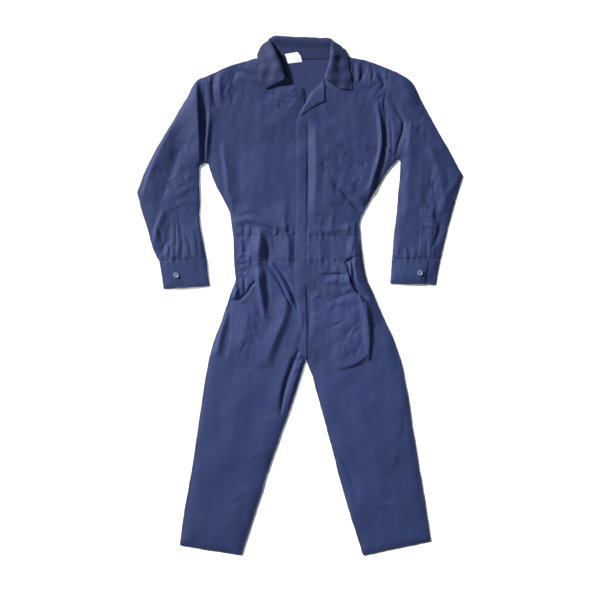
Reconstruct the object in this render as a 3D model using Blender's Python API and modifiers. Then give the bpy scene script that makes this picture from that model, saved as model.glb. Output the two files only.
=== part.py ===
"""A long-sleeved boiler suit, laid flat on its back with its arms a little out from its sides.

Sizes are in millimetres and become metres as each mesh is made. X runs across the suit, towards the wearer's
left, and Y runs from the hems to the collar. The suit lies on Z = 0. Each cut piece is a sheet or a tube of
cloth with its own wall, and the pieces lie on each other as they do in the sewn suit.
"""

import math
from collections import namedtuple

import bmesh
import bpy
from mathutils import Matrix, Vector

MM = 0.001

# Cloth and how it is stacked.
CLOTH = 1.2
COLLAR_CLOTH = 1.8
LABEL_CLOTH = 0.6
GAP = 0.3
PLY = CLOTH + GAP
ARMHOLE_GAP = 0.6
FOLD_RISE = 0.8

# How far the upper cloth lifts off the lower one, and how soon inside the outline.
CROWN_HEIGHT = 3.4
CROWN_REACH = 26.0

# Columns of cloth between the two ends of a section.
FRONT_COLUMNS = 7
BACK_COLUMNS = 8
LEG_COLUMNS = 7
LEG_BACK_COLUMNS = 3
SLEEVE_COLUMNS = 12
CUFF_COLUMNS = 6

# The cuff buttons.
BUTTON_RADIUS = 8.5
BUTTON_HEIGHT = 3.0
BUTTON_RIM = 2.0
BUTTON_DISH = 0.7
BUTTON_HOLE_RADIUS = 1.0
BUTTON_HOLE_CIRCLE = 2.1

NAVY = (0.045, 0.062, 0.165, 1.0)
WHITE_TAPE = (0.85, 0.86, 0.88, 1.0)
PEARL = (0.50, 0.53, 0.62, 1.0)

Point = namedtuple("Point", "x y")
Section = namedtuple("Section", "left right")

# The body, from the waist seam up. Each row crosses the back from one side to the other, and the two fronts from
# the side to their own front edge: the side seams, then the armholes, the shoulders and the points of the neck.
TorsoRow = namedtuple("TorsoRow", "side_right front_right front_left side_left")
TORSO = [
    TorsoRow((-199, 179), (14, 179), (22, 179), (182, 179)),
    TorsoRow((-204, 215), (14, 215), (22, 215), (179, 215)),
    TorsoRow((-210, 251), (14, 252), (22, 252), (194, 253)),
    TorsoRow((-228, 287), (14, 294), (22, 294), (213, 290)),
    TorsoRow((-253, 335), (14, 345), (22, 345), (241, 337)),
    TorsoRow((-270, 380), (14, 394), (22, 394), (271, 382)),
    TorsoRow((-275, 397), (14, 422), (22, 422), (296, 409)),
    TorsoRow((-272, 443), (14, 460), (22, 460), (265, 448)),
    TorsoRow((-269, 491), (14, 502), (22, 502), (254, 496)),
    TorsoRow((-265, 541), (14, 541), (22, 541), (251, 544)),
    TorsoRow((-264, 583), (14, 583), (23, 588), (256, 589)),
    TorsoRow((-271, 620), (12, 622), (34, 610), (265, 634)),
    TorsoRow((-278, 660), (-34, 639), (74, 640), (266, 682)),
    TorsoRow((-203, 692), (-79, 667), (115, 676), (212, 702)),
    TorsoRow((-129, 713), (-110, 702), (140, 706), (151, 717)),
]
UNDERARM_ROW = 6
SHOULDER_ROW = 12

# The trousers, from the waistband down, with the crotch at the eighth row.
LegRow = namedtuple("LegRow", "outer_right inner_right inner_left outer_left")
LEGS = [
    LegRow((-197, 105), (14, 105), (22, 105), (189, 105)),
    LegRow((-194, 70), (14, 70), (22, 70), (195, 70)),
    LegRow((-193, 41), (14, 41), (22, 41), (203, 41)),
    LegRow((-202, 19), (14, 19), (23, 19), (214, 19)),
    LegRow((-217, -26), (14, -26), (23, -26), (233, -26)),
    LegRow((-234, -77), (16, -77), (24, -77), (256, -77)),
    LegRow((-257, -137), (17, -137), (25, -137), (283, -137)),
    LegRow((-274, -196), (18, -194), (26, -194), (304, -196)),
    LegRow((-282, -245), (2, -245), (39, -245), (314, -245)),
    LegRow((-293, -314), (-20, -314), (58, -314), (326, -314)),
    LegRow((-307, -410), (-54, -410), (84, -410), (340, -410)),
    LegRow((-322, -512), (-90, -512), (111, -512), (357, -512)),
    LegRow((-343, -629), (-127, -629), (143, -629), (377, -629)),
    LegRow((-361, -750), (-176, -780), (191, -780), (393, -737)),
]
CROTCH_ROW = 7
CENTRE_BACK = 19

# The sleeves, from the armhole to the cuff seam. The elbow is where the outer edge turns.
SleeveRow = namedtuple("SleeveRow", "outer inner")
SLEEVE_RIGHT = [
    SleeveRow((-308, 646), (-286, 397)),
    SleeveRow((-338, 595), (-300, 389)),
    SleeveRow((-380, 526), (-302, 365)),
    SleeveRow((-422, 456), (-302, 338)),
    SleeveRow((-459, 387), (-300, 310)),
    SleeveRow((-489, 311), (-300, 280)),
    SleeveRow((-475, 259), (-302, 244)),
    SleeveRow((-458, 201), (-296, 197)),
    SleeveRow((-441, 143), (-287, 148)),
    SleeveRow((-424, 104), (-280, 110)),
]
SLEEVE_LEFT = [
    SleeveRow((296, 669), (302, 409)),
    SleeveRow((330, 648), (305, 398)),
    SleeveRow((362, 592), (303, 376)),
    SleeveRow((404, 514), (301, 352)),
    SleeveRow((446, 441), (299, 325)),
    SleeveRow((489, 361), (296, 295)),
    SleeveRow((474, 310), (292, 262)),
    SleeveRow((457, 250), (289, 226)),
    SleeveRow((442, 190), (284, 185)),
    SleeveRow((430, 143), (280, 143)),
    SleeveRow((423, 110), (278, 110)),
]
CUFF_RIGHT = [
    SleeveRow((-423, 103), (-279, 109)),
    SleeveRow((-415, 62), (-274, 66)),
    SleeveRow((-409, 20), (-270, 28)),
]
CUFF_LEFT = [
    SleeveRow((422, 109), (277, 109)),
    SleeveRow((415, 71), (275, 71)),
    SleeveRow((409, 33), (272, 36)),
]
CUFF_LAP_START = 0.24
CUFF_LAP_END = 0.50

# The fly band, from its foot at the crotch to the break of the lapel.
BandRow = namedtuple("BandRow", "left right y")
FLY_BAND = [
    BandRow(17.5, 25.2, -190),
    BandRow(12.0, 24.4, -150),
    BandRow(2.0, 23.6, -104),
    BandRow(-7.0, 22.6, -44),
    BandRow(-13.0, 21.7, 31),
    BandRow(-15.0, 21.6, 105),
    BandRow(-12.0, 21.6, 179),
    BandRow(-9.0, 21.6, 252),
    BandRow(-8.0, 21.6, 345),
    BandRow(-8.0, 21.6, 460),
    BandRow(-7.0, 21.6, 529),
    BandRow(4.0, 21.6, 553),
    BandRow(15.0, 21.6, 576),
]

# The turned-back corner of the left front, from the break of the roll up to the neck.
LAPEL = [
    Section((0, 543), (3, 540)),
    Section((11, 564), (27, 558)),
    Section((23, 586), (50, 572)),
    Section((35, 609), (74, 584)),
    Section((53, 627), (75, 608)),
    Section((72, 645), (76, 629)),
]

# The collar, from its right front end round the back of the neck to its left front end. Turn is how the fall lies
# against the stand: 90 over it, 0 beside it, -90 under it. Belly pushes the middle of the fall outwards.
CollarRow = namedtuple("CollarRow", "neck roll edge turn belly")
COLLAR = [
    CollarRow((-56, 650, 8.6), (-41, 649, 13.0), (-103, 621, 9.4), 90, 0),
    CollarRow((-74, 672, 8.4), (-54, 690, 16.5), (-121, 648, 9.4), 90, 1),
    CollarRow((-95, 696, 7.8), (-72, 731, 16.5), (-125, 690, 9.6), 80, 2),
    CollarRow((-108, 711, 6.6), (-92, 768, 10.5), (-127, 722, 6.4), 8, 7),
    CollarRow((-92, 717, 4.6), (-78, 777, 5.4), (-96, 724, 1.2), -80, 0),
    CollarRow((-45, 717, 3.8), (-40, 776, 4.6), (-45, 723, 0.9), -90, 0),
    CollarRow((15, 716, 3.8), (15, 774, 4.6), (15, 722, 0.9), -90, 0),
    CollarRow((75, 717, 3.8), (62, 772, 4.6), (75, 723, 0.9), -90, 0),
    CollarRow((118, 719, 4.6), (88, 771, 5.4), (118, 726, 1.2), -80, 0),
    CollarRow((131, 716, 6.6), (97, 767, 10.5), (143, 723, 6.4), 8, 5),
    CollarRow((125, 700, 7.8), (94, 733, 15.5), (148, 694, 9.6), 80, 2),
    CollarRow((106, 672, 8.4), (89, 696, 15.5), (154, 655, 9.4), 90, 1),
    CollarRow((86, 649, 8.6), (76, 650, 13.0), (157, 620, 9.4), 90, 0),
]
ROLL_GAP = 3.4

# The neck label, from the back of the body up over the neck seam.
LabelRow = namedtuple("LabelRow", "left right z")
LABEL = [
    LabelRow((-34, 697), (9, 702), 1.7),
    LabelRow((-38, 708), (6, 711), 3.9),
    LabelRow((-40, 715), (4, 718), 5.4),
    LabelRow((-44, 725), (-6, 731), 6.2),
]

# Outlines of what is sewn on a panel. Each hip pocket's mouth is the curved part between its side and its top.
CHEST_POCKET = [(71, 268), (192, 268), (204, 300), (222, 345), (232, 400), (235, 449), (71, 453)]
HIP_POCKET_LEFT = [
    (94, -231), (130, -226), (170, -215), (203, -204), (213, -188), (211, -103), (205, -17),
    (184, -4), (166, 13), (153, 37), (147, 61), (141, 84), (136, 98), (94, 98),
]
HIP_POCKET_RIGHT = [
    (-72, -226), (-130, -222), (-180, -214), (-215, -203), (-226, -180), (-214, -148), (-211, -88),
    (-211, -17), (-178, -20), (-163, -7), (-154, 13), (-140, 32), (-124, 43), (-121, 76), (-127, 98), (-72, 98),
]
PLACKET_RIGHT = [(-382, 114), (-360, 114), (-365, 243), (-388, 243)]
PLACKET_LEFT = [(358, 117), (398, 117), (404, 262), (364, 262)]
BUTTON_RIGHT = Point(-370, 61)
BUTTON_LEFT = Point(362, 68)

# The largest folds of the upper cloth. Each runs through three points, with its half width and its height.
Fold = namedtuple("Fold", "start middle end width height")
FOLDS = [
    Fold((-326, 640), (-322, 520), (-318, 400), 26, 8),
    Fold((300, 590), (330, 520), (304, 430), 26, 6),
    Fold((228, 600), (226, 480), (236, 400), 26, 4),
    Fold((-228, 470), (-220, 380), (-205, 290), 26, 4),
    Fold((-124, 190), (-122, 105), (-122, 20), 24, 6),
    Fold((-36, 200), (-30, 100), (-20, 0), 26, 5),
    Fold((-44, 40), (-52, -60), (-96, -190), 28, 7),
    Fold((-20, -170), (-48, -270), (-76, -360), 26, 5),
    Fold((46, 530), (46, 400), (44, 200), 26, 3),
    Fold((150, 110), (158, 60), (178, 10), 26, 4),
    Fold((-455, 400), (-420, 330), (-400, 250), 30, 3),
    Fold((430, 400), (400, 330), (380, 260), 30, 3),
]


def clear_scene():
    for old in list(bpy.data.objects):
        bpy.data.objects.remove(old, do_unlink=True)


def new_collection(name):
    collection = bpy.data.collections.new(name)
    bpy.context.scene.collection.children.link(collection)
    return collection


def make_material(name, colour, roughness):
    material = bpy.data.materials.new(name)
    material.use_nodes = True
    shader = material.node_tree.nodes["Principled BSDF"]
    shader.inputs["Base Color"].default_value = colour
    shader.inputs["Roughness"].default_value = roughness
    shader.inputs["Metallic"].default_value = 0.0
    return material


def mix(start, end, t):
    return start + (end - start) * t


def between(start, end, t):
    return Point(mix(start[0], end[0], t), mix(start[1], end[1], t))


def segment_distance(x, y, start, end):
    """The distance from a point to a straight run, and how far along the run its nearest place is."""
    run_x = end[0] - start[0]
    run_y = end[1] - start[1]
    along = ((x - start[0]) * run_x + (y - start[1]) * run_y) / (run_x * run_x + run_y * run_y)
    along = min(1.0, max(0.0, along))
    return math.hypot(x - start[0] - along * run_x, y - start[1] - along * run_y), along


def outline_runs():
    """Every straight run of the suit's outline, as pairs of points."""
    rows = [TORSO[0].side_right]
    runs = []
    chains = [
        [row.side_right for row in TORSO[: UNDERARM_ROW + 1]],
        [row.side_left for row in TORSO[: UNDERARM_ROW + 1]],
        [row.side_right for row in TORSO[SHOULDER_ROW:]],
        [row.side_left for row in TORSO[SHOULDER_ROW:]],
        rows + [row.outer_right for row in LEGS] + [LEGS[-1].inner_right],
        [TORSO[0].side_left] + [row.outer_left for row in LEGS] + [LEGS[-1].inner_left],
        [row.inner_right for row in LEGS[CROTCH_ROW:]],
        [row.inner_left for row in LEGS[CROTCH_ROW:]],
    ]
    sleeves = ((TORSO[SHOULDER_ROW].side_right, TORSO[UNDERARM_ROW].side_right, SLEEVE_RIGHT + CUFF_RIGHT[1:]),
               (TORSO[SHOULDER_ROW].side_left, TORSO[UNDERARM_ROW].side_left, SLEEVE_LEFT + CUFF_LEFT[1:]))
    for shoulder, underarm, sections in sleeves:
        chains.append([shoulder] + [row.outer for row in sections] + [sections[-1].inner])
        chains.append([underarm] + [row.inner for row in sections])
    for chain in chains:
        runs.extend(zip(chain, chain[1:]))
    return runs


OUTLINE = outline_runs()


def crown(x, y):
    """The soft lift of the upper cloth away from the outline."""
    nearest = min(segment_distance(x, y, start, end)[0] for start, end in OUTLINE)
    return CROWN_HEIGHT * (1.0 - math.exp(-nearest / CROWN_REACH))


def fold_height(fold, x, y):
    """One fold: a rounded ridge that dies away at both ends."""
    first, t_first = segment_distance(x, y, fold.start, fold.middle)
    second, t_second = segment_distance(x, y, fold.middle, fold.end)
    distance = min(first, second)
    along = t_first / 2 if first < second else 0.5 + t_second / 2
    if distance >= fold.width:
        return 0.0
    taper = math.sin(math.pi * along) ** 0.6 if 0.0 < along < 1.0 else 0.0
    return fold.height * taper * math.cos(math.pi * distance / fold.width / 2) ** 2


def surface(x, y):
    """The height of the upper cloth over the place where it would lie dead flat."""
    return crown(x, y) + sum(fold_height(fold, x, y) for fold in FOLDS)


def finish_object(name, mesh, material, collection):
    obj = bpy.data.objects.new(name, mesh)
    obj.data.materials.append(material)
    collection.objects.link(obj)
    obj.data.shade_smooth()
    obj.data.set_sharp_from_angle(angle=math.radians(50))
    return obj


def thicken(obj, thickness, offset):
    solid = obj.modifiers.new("Cloth", "SOLIDIFY")
    solid.thickness = thickness * MM
    solid.offset = offset
    solid.use_even_offset = True


def mesh_from(bm, name):
    mesh = bpy.data.meshes.new(name)
    bm.to_mesh(mesh)
    bm.free()
    return mesh


def mapped_grid(name, columns, rows, place, closed=False):
    """A grid of cloth whose place(across, along) gives each point, with both counts from 0 to 1."""
    bm = bmesh.new()
    bmesh.ops.create_grid(bm, x_segments=columns, y_segments=rows, size=1.0)
    for vert in bm.verts:
        vert.co = Vector(place((vert.co.x + 1) / 2, (vert.co.y + 1) / 2)) * MM
    if closed:
        bmesh.ops.remove_doubles(bm, verts=bm.verts, dist=1e-6)
    bm.normal_update()
    if not closed and sum(face.normal.z for face in bm.faces) < 0:
        bmesh.ops.reverse_faces(bm, faces=bm.faces)
    bmesh.ops.triangulate(bm, faces=bm.faces)
    return mesh_from(bm, name)


def row_at(rows, along):
    """The two table rows on each side of a place along a table, and the share of the second."""
    position = along * (len(rows) - 1)
    index = min(int(position + 1e-6), len(rows) - 2)
    return rows[index], rows[index + 1], position - index


def sheet(name, sections, columns, base, material, collection, height=surface):
    """A panel ruled from left to right across its sections, which run from its bottom to its top."""

    def place(across, along):
        lower, upper, share = row_at(sections, along)
        left = between(lower.left, upper.left, share)
        right = between(lower.right, upper.right, share)
        spot = between(left, right, across)
        return spot.x, spot.y, base(spot.x, spot.y) + height(spot.x, spot.y)

    mesh = mapped_grid(name, columns, len(sections) - 1, place)
    obj = finish_object(name, mesh, material, collection)
    thicken(obj, CLOTH, 1.0)
    return obj


def level(x, y):
    """The under cloth lies dead flat."""
    return 0.0


def on_table(x, y):
    return 0.0


def on_back(x, y):
    return PLY


def over_front(x, y):
    """The fly band lies on the right front."""
    return PLY + PLY + 0.5


def on_lapped_front(x, y):
    """The left front rises beside the fly band, to meet it, and lies on the back elsewhere."""
    share = min(1.0, max(0.0, (64 - x) / 40))
    return PLY + (PLY + 0.5) * share * share * (3 - 2 * share)


def raise_lapel(x, y):
    return 2 * PLY + PLY + 1.3


def build_torso(cloth, suit):
    back = [Section(row.side_right, row.side_left) for row in TORSO]
    right = [Section(row.side_right, row.front_right) for row in TORSO]
    left = [Section(row.front_left, row.side_left) for row in TORSO]
    sheet("back_body", back, BACK_COLUMNS, on_table, cloth, suit, level)
    sheet("front_right", right, FRONT_COLUMNS, on_back, cloth, suit)
    return sheet("front_left", left, FRONT_COLUMNS, on_lapped_front, cloth, suit)


def build_waistband(cloth, suit):
    """The band between the body and the trousers, with a seam's gap above and below it."""
    top = TORSO[0]
    foot = LEGS[0]
    upper_y = top.side_right[1] - GAP
    lower_y = foot.outer_right[1] + GAP
    ends = [
        ("waistband_back", foot.outer_right[0], foot.outer_left[0], top.side_right[0], top.side_left[0]),
        ("waistband_front_right", foot.outer_right[0], foot.inner_right[0], top.side_right[0], top.front_right[0]),
        ("waistband_front_left", foot.inner_left[0], foot.outer_left[0], top.front_left[0], top.side_left[0]),
    ]
    bases = (on_table, on_back, on_lapped_front)
    heights = (level, surface, surface)
    for (name, low_left, low_right, high_left, high_right), base, height in zip(ends, bases, heights):
        sections = []
        for share in (0.0, 0.5, 1.0):
            y = mix(lower_y, upper_y, share)
            sections.append(Section((mix(low_left, high_left, share), y), (mix(low_right, high_right, share), y)))
        sheet(name, sections, FRONT_COLUMNS, base, cloth, suit, height)


def build_trousers(cloth, suit):
    rows = LEGS[::-1]
    crotch = len(rows) - 1 - CROTCH_ROW
    front_right = [Section(row.outer_right, row.inner_right) for row in rows]
    front_left = [Section(row.inner_left, row.outer_left) for row in rows]
    back_right = []
    back_left = []
    for index, row in enumerate(rows):
        if index < crotch:
            back_right.append(Section(row.outer_right, row.inner_right))
            back_left.append(Section(row.inner_left, row.outer_left))
        else:
            y = row.inner_right[1]
            back_right.append(Section(row.outer_right, (CENTRE_BACK - GAP, y)))
            back_left.append(Section((CENTRE_BACK + GAP, y), row.outer_left))
    sheet("trouser_back_right", back_right, LEG_BACK_COLUMNS, on_table, cloth, suit, level)
    sheet("trouser_back_left", back_left, LEG_BACK_COLUMNS, on_table, cloth, suit, level)
    right = sheet("trouser_front_right", front_right, LEG_COLUMNS, on_back, cloth, suit)
    left = sheet("trouser_front_left", front_left, LEG_COLUMNS, on_lapped_front, cloth, suit)
    return right, left


def ring_stations(sides):
    """The points round a flattened tube: its share of the way across, and 1 on top, -1 underneath, 0 at a fold."""
    shares = [index / sides for index in range(sides + 1)]
    over = [(share, 1) for share in shares]
    under = [(share, -1) for share in reversed(shares)]
    return over + [(1.0, 0)] + under + [(0.0, 0)]


def tube_spot(spot_at, share, layer):
    """The place of one ring point, with the two layers drawn in from the folds by half the tube's thickness."""
    start = spot_at(0.0)
    end = spot_at(1.0)
    inset = FOLD_RISE / math.dist(start, end) if layer else 0.0
    spot = spot_at(mix(inset, 1 - inset, share))
    upper = PLY + CLOTH / 2 + max(surface(*spot), FOLD_RISE)
    lower = CLOTH / 2
    return spot, {1: upper, 0: (PLY + FOLD_RISE + CLOTH) / 2, -1: lower}[layer]


def armhole_spot(points, share):
    lower, upper, part = row_at(points, share)
    return between(lower, upper, part)


def build_sleeve(name, armhole, gap, rows, cloth, suit):
    """A tube from the armhole, whose first ring follows the armhole's own points, down to the cuff seam."""
    stations = ring_stations(SLEEVE_COLUMNS)
    armhole = [(x + gap, y) for x, y in reversed(armhole)]

    def place(across, along):
        share, layer = stations[round(across * len(stations)) % len(stations)]
        row = round(along * len(rows))
        if row == 0:
            spot, z = tube_spot(lambda part: armhole_spot(armhole, part), share, layer)
        else:
            section = rows[row - 1]
            spot, z = tube_spot(lambda part: between(section.outer, section.inner, part), share, layer)
        return spot.x, spot.y, z

    mesh = mapped_grid(name, len(stations), len(rows), place, closed=True)
    obj = finish_object(name, mesh, cloth, suit)
    thicken(obj, CLOTH, 0.0)
    return obj


def cuff_stations():
    """The cuff's strip from its upper end, round the arm, to the end that lies under the upper one."""
    flap = [mix(CUFF_LAP_START, 1.0, index / CUFF_COLUMNS) for index in range(CUFF_COLUMNS + 1)]
    under = [index / CUFF_COLUMNS for index in range(CUFF_COLUMNS, -1, -1)]
    lap = [mix(0.0, CUFF_LAP_END, index / 3) for index in range(4)]
    over = [(share, 2 if share < CUFF_LAP_END + 0.12 else 1) for share in flap]
    return over + [(1.0, 0)] + [(share, -1) for share in under] + [(0.0, 0)] + [(share, 1) for share in lap]


def build_cuff(name, rows, cloth, suit):
    stations = cuff_stations()

    def place(across, along):
        share, layer = stations[round(across * (len(stations) - 1))]
        row = rows[round(along * (len(rows) - 1))]
        spot, z = tube_spot(lambda part: between(row.outer, row.inner, part), share, min(layer, 1))
        return spot.x, spot.y, z + (PLY + 0.5 if layer == 2 else 0.0)

    mesh = mapped_grid(name, len(stations) - 1, len(rows) - 1, place, closed=False)
    obj = finish_object(name, mesh, cloth, suit)
    thicken(obj, CLOTH, 0.0)
    return obj


def build_arms(cloth, suit):
    armhole_right = [row.side_right for row in TORSO[UNDERARM_ROW : SHOULDER_ROW + 1]]
    armhole_left = [row.side_left for row in TORSO[UNDERARM_ROW : SHOULDER_ROW + 1]]
    right = build_sleeve("sleeve_right", armhole_right, -ARMHOLE_GAP, SLEEVE_RIGHT, cloth, suit)
    left = build_sleeve("sleeve_left", armhole_left, ARMHOLE_GAP, SLEEVE_LEFT, cloth, suit)
    build_cuff("cuff_right", CUFF_RIGHT, cloth, suit)
    build_cuff("cuff_left", CUFF_LEFT, cloth, suit)
    return right, left


def prism(name, outline, low, high, collection):
    """An upright solid over an outline, which cuts a sewn-on piece out of its panel's cloth."""
    bm = bmesh.new()
    corners = [bm.verts.new((x * MM, y * MM, low * MM)) for x, y in outline]
    foot = bm.faces.new(corners)
    grown = bmesh.ops.extrude_face_region(bm, geom=[foot])["geom"]
    lifted = [item for item in grown if isinstance(item, bmesh.types.BMVert)]
    bmesh.ops.translate(bm, verts=lifted, vec=(0.0, 0.0, (high - low) * MM))
    bmesh.ops.recalc_face_normals(bm, faces=bm.faces)
    obj = bpy.data.objects.new(name, mesh_from(bm, name))
    collection.objects.link(obj)
    obj.hide_render = True
    obj.display_type = "WIRE"
    return obj


def sewn_on(name, panel, outline, rise, low, material, suit, cutters):
    """A patch made of its panel's own points, moved up by rise and cut to its outline."""
    obj = finish_object(name, panel.data.copy(), material, suit)
    obj.data.materials.clear()
    obj.data.materials.append(material)
    obj.data.transform(Matrix.Translation((0.0, 0.0, rise * MM)))
    thicken(obj, CLOTH, panel.modifiers["Cloth"].offset)
    cut = obj.modifiers.new("Outline", "BOOLEAN")
    cut.operation = "INTERSECT"
    cut.object = prism(name + "_outline", outline, low, 60.0, cutters)
    return obj


def build_fly(cloth, suit):
    band = [Section((row.left, row.y), (row.right, row.y)) for row in FLY_BAND]
    sheet("fly_band", band, 1, over_front, cloth, suit)
    sheet("lapel_left", LAPEL, 4, raise_lapel, cloth, suit)


def collar_profile(row):
    """Seven points across the collar: up the stand, round the roll and down the fall."""
    neck = Vector(row.neck)
    roll = Vector(row.roll)
    edge = Vector(row.edge)
    turn = math.radians(row.turn)
    rise = Vector((roll.x - neck.x, roll.y - neck.y, 0.0)).normalized()
    outboard = Vector((edge.x - roll.x, edge.y - roll.y, 0.0)).normalized()
    apart = (outboard * math.cos(turn) + Vector((0.0, 0.0, 1.0)) * math.sin(turn)) * (ROLL_GAP / 2)
    stand_top = roll - apart
    fall_top = roll + apart
    crest = roll + rise * (ROLL_GAP / 2)
    across_fall = Vector((edge.y - roll.y, roll.x - edge.x, 0.0)).normalized()
    if across_fall.x * roll.x < 0 and abs(row.turn) < 85:
        across_fall.negate()
    belly = fall_top.lerp(edge, 0.5) + across_fall * row.belly
    return [neck, neck.lerp(stand_top, 0.5), stand_top, crest, fall_top, belly, edge]


def build_collar(cloth, suit):
    profiles = [collar_profile(row) for row in COLLAR]

    def place(across, along):
        first, second, part = row_at(profiles, along)
        index = round(across * (len(first) - 1))
        return first[index].lerp(second[index], part)

    mesh = mapped_grid("collar", len(profiles[0]) - 1, 2 * (len(COLLAR) - 1), place, closed=False)
    obj = finish_object("collar", mesh, cloth, suit)
    thicken(obj, COLLAR_CLOTH, 0.0)


def build_label(tape, suit):
    def place(across, along):
        lower, upper, part = row_at(LABEL, along)
        spot = between(between(lower.left, upper.left, part), between(lower.right, upper.right, part), across)
        return spot.x, spot.y, mix(lower.z, upper.z, part)

    mesh = mapped_grid("neck_label", 1, len(LABEL) - 1, place)
    obj = finish_object("neck_label", mesh, tape, suit)
    thicken(obj, LABEL_CLOTH, 1.0)


def button_profile():
    """Half the section of a sew-through button at +X, from its raised rim down its side and in underneath."""
    top = BUTTON_HEIGHT
    return [
        (0.0, top - BUTTON_DISH),
        (BUTTON_RADIUS - BUTTON_RIM - 0.8, top - BUTTON_DISH),
        (BUTTON_RADIUS - BUTTON_RIM, top),
        (BUTTON_RADIUS - 0.9, top),
        (BUTTON_RADIUS, top - 0.9),
        (BUTTON_RADIUS, 1.0),
        (BUTTON_RADIUS - 1.2, 0.0),
        (0.0, 0.0),
    ]


def build_button(name, spot, pearl, suit, cutters):
    """A four-hole button that lies on the upper end of its cuff."""
    bm = bmesh.new()
    corners = [bm.verts.new((x * MM, 0.0, z * MM)) for x, z in button_profile()]
    for start, end in zip(corners, corners[1:]):
        bm.edges.new((start, end))
    obj = finish_object(name, mesh_from(bm, name), pearl, suit)
    turn = obj.modifiers.new("Turned", "SCREW")
    turn.steps = turn.render_steps = 20
    turn.use_merge_vertices = True
    turn.merge_threshold = 0.00001
    reach = BUTTON_RADIUS * 0.8
    around = [(spot.x + reach * dx, spot.y + reach * dy) for dx in (-1, 0, 1) for dy in (-1, 0, 1)]
    cloth_top = PLY + CLOTH + PLY + 0.5 + max(surface(x, y) for x, y in around)
    obj.location = (spot.x * MM, spot.y * MM, (cloth_top + GAP) * MM)
    for index in range(4):
        angle = math.radians(45 + 90 * index)
        bm = bmesh.new()
        radius = BUTTON_HOLE_RADIUS * MM
        bmesh.ops.create_cone(
            bm, cap_ends=True, segments=8, radius1=radius, radius2=radius, depth=4 * BUTTON_HEIGHT * MM)
        cutter = bpy.data.objects.new(f"{name}_hole_{index}", mesh_from(bm, name + "_hole"))
        cutters.objects.link(cutter)
        cutter.hide_render = True
        cutter.display_type = "WIRE"
        cutter.parent = obj
        cutter.location = (math.cos(angle) * BUTTON_HOLE_CIRCLE * MM, math.sin(angle) * BUTTON_HOLE_CIRCLE * MM, 0.0)
        hole = obj.modifiers.new(f"Hole {index}", "BOOLEAN")
        hole.operation = "DIFFERENCE"
        hole.object = cutter


def build():
    clear_scene()
    suit = new_collection("boiler_suit")
    cutters = new_collection("cutters")
    cloth = make_material("navy_twill", NAVY, 0.85)
    tape = make_material("white_tape", WHITE_TAPE, 0.8)
    pearl = make_material("pearl_button", PEARL, 0.3)
    front_left = build_torso(cloth, suit)
    build_waistband(cloth, suit)
    trouser_right, trouser_left = build_trousers(cloth, suit)
    sleeve_right, sleeve_left = build_arms(cloth, suit)
    build_fly(cloth, suit)
    build_collar(cloth, suit)
    build_label(tape, suit)
    sewn_on("chest_pocket", front_left, CHEST_POCKET, PLY, 0.0, cloth, suit, cutters)
    sewn_on("hip_pocket_right", trouser_right, HIP_POCKET_RIGHT, PLY, 0.0, cloth, suit, cutters)
    sewn_on("hip_pocket_left", trouser_left, HIP_POCKET_LEFT, PLY, 0.0, cloth, suit, cutters)
    sewn_on("sleeve_placket_right", sleeve_right, PLACKET_RIGHT, PLY, 3.0, cloth, suit, cutters)
    sewn_on("sleeve_placket_left", sleeve_left, PLACKET_LEFT, PLY, 3.0, cloth, suit, cutters)
    build_button("cuff_button_right", BUTTON_RIGHT, pearl, suit, cutters)
    build_button("cuff_button_left", BUTTON_LEFT, pearl, suit, cutters)


build()
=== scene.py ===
"""The look of a long-sleeved boiler suit, laid flat on its back with its arms a little out from its sides.

Sizes are in millimetres and become metres as each mesh is made. X runs across the suit, towards the wearer's
left, and Y from the hems to the collar. Each piece of cloth has its own section, from the lowest up.
"""

import math
from collections import namedtuple

import bmesh
import bpy
import numpy as np
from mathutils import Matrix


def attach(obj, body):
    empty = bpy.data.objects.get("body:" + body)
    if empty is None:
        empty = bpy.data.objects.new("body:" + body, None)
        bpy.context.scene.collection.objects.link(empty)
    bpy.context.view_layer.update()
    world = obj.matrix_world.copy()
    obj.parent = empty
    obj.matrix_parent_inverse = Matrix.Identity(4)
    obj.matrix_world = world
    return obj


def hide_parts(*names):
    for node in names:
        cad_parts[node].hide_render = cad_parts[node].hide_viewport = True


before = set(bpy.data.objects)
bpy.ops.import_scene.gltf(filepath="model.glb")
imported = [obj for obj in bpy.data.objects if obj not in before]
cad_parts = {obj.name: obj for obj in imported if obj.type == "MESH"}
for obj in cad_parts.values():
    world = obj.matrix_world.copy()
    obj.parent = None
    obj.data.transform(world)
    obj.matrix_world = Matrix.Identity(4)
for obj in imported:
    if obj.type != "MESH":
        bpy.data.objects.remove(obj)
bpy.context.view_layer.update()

# ----------------------------------------
# The back of the body: one piece of navy cotton twill from the shoulders to the waist seam. It lies dead
# flat on the floor, is sewn to the fronts down its sides and over the shoulders, and to the sleeves round
# the armholes.

MM = 0.001
CLOTH = 1.2
GAP = 0.3
PLY = CLOTH + GAP
SEAM_GAP = 0.05
# A felled seam has two rows of topstitching, this far from it. FAR is written where no stitched edge is near.
FELLED_ROWS = (2.0, 8.0)
FAR = 99.0


def table(columns, *rows):
    """Rows with named columns."""
    row_type = namedtuple("Row", columns)
    return [row_type(*row) for row in rows]


def column(rows, name):
    return [getattr(row, name) for row in rows]


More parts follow.
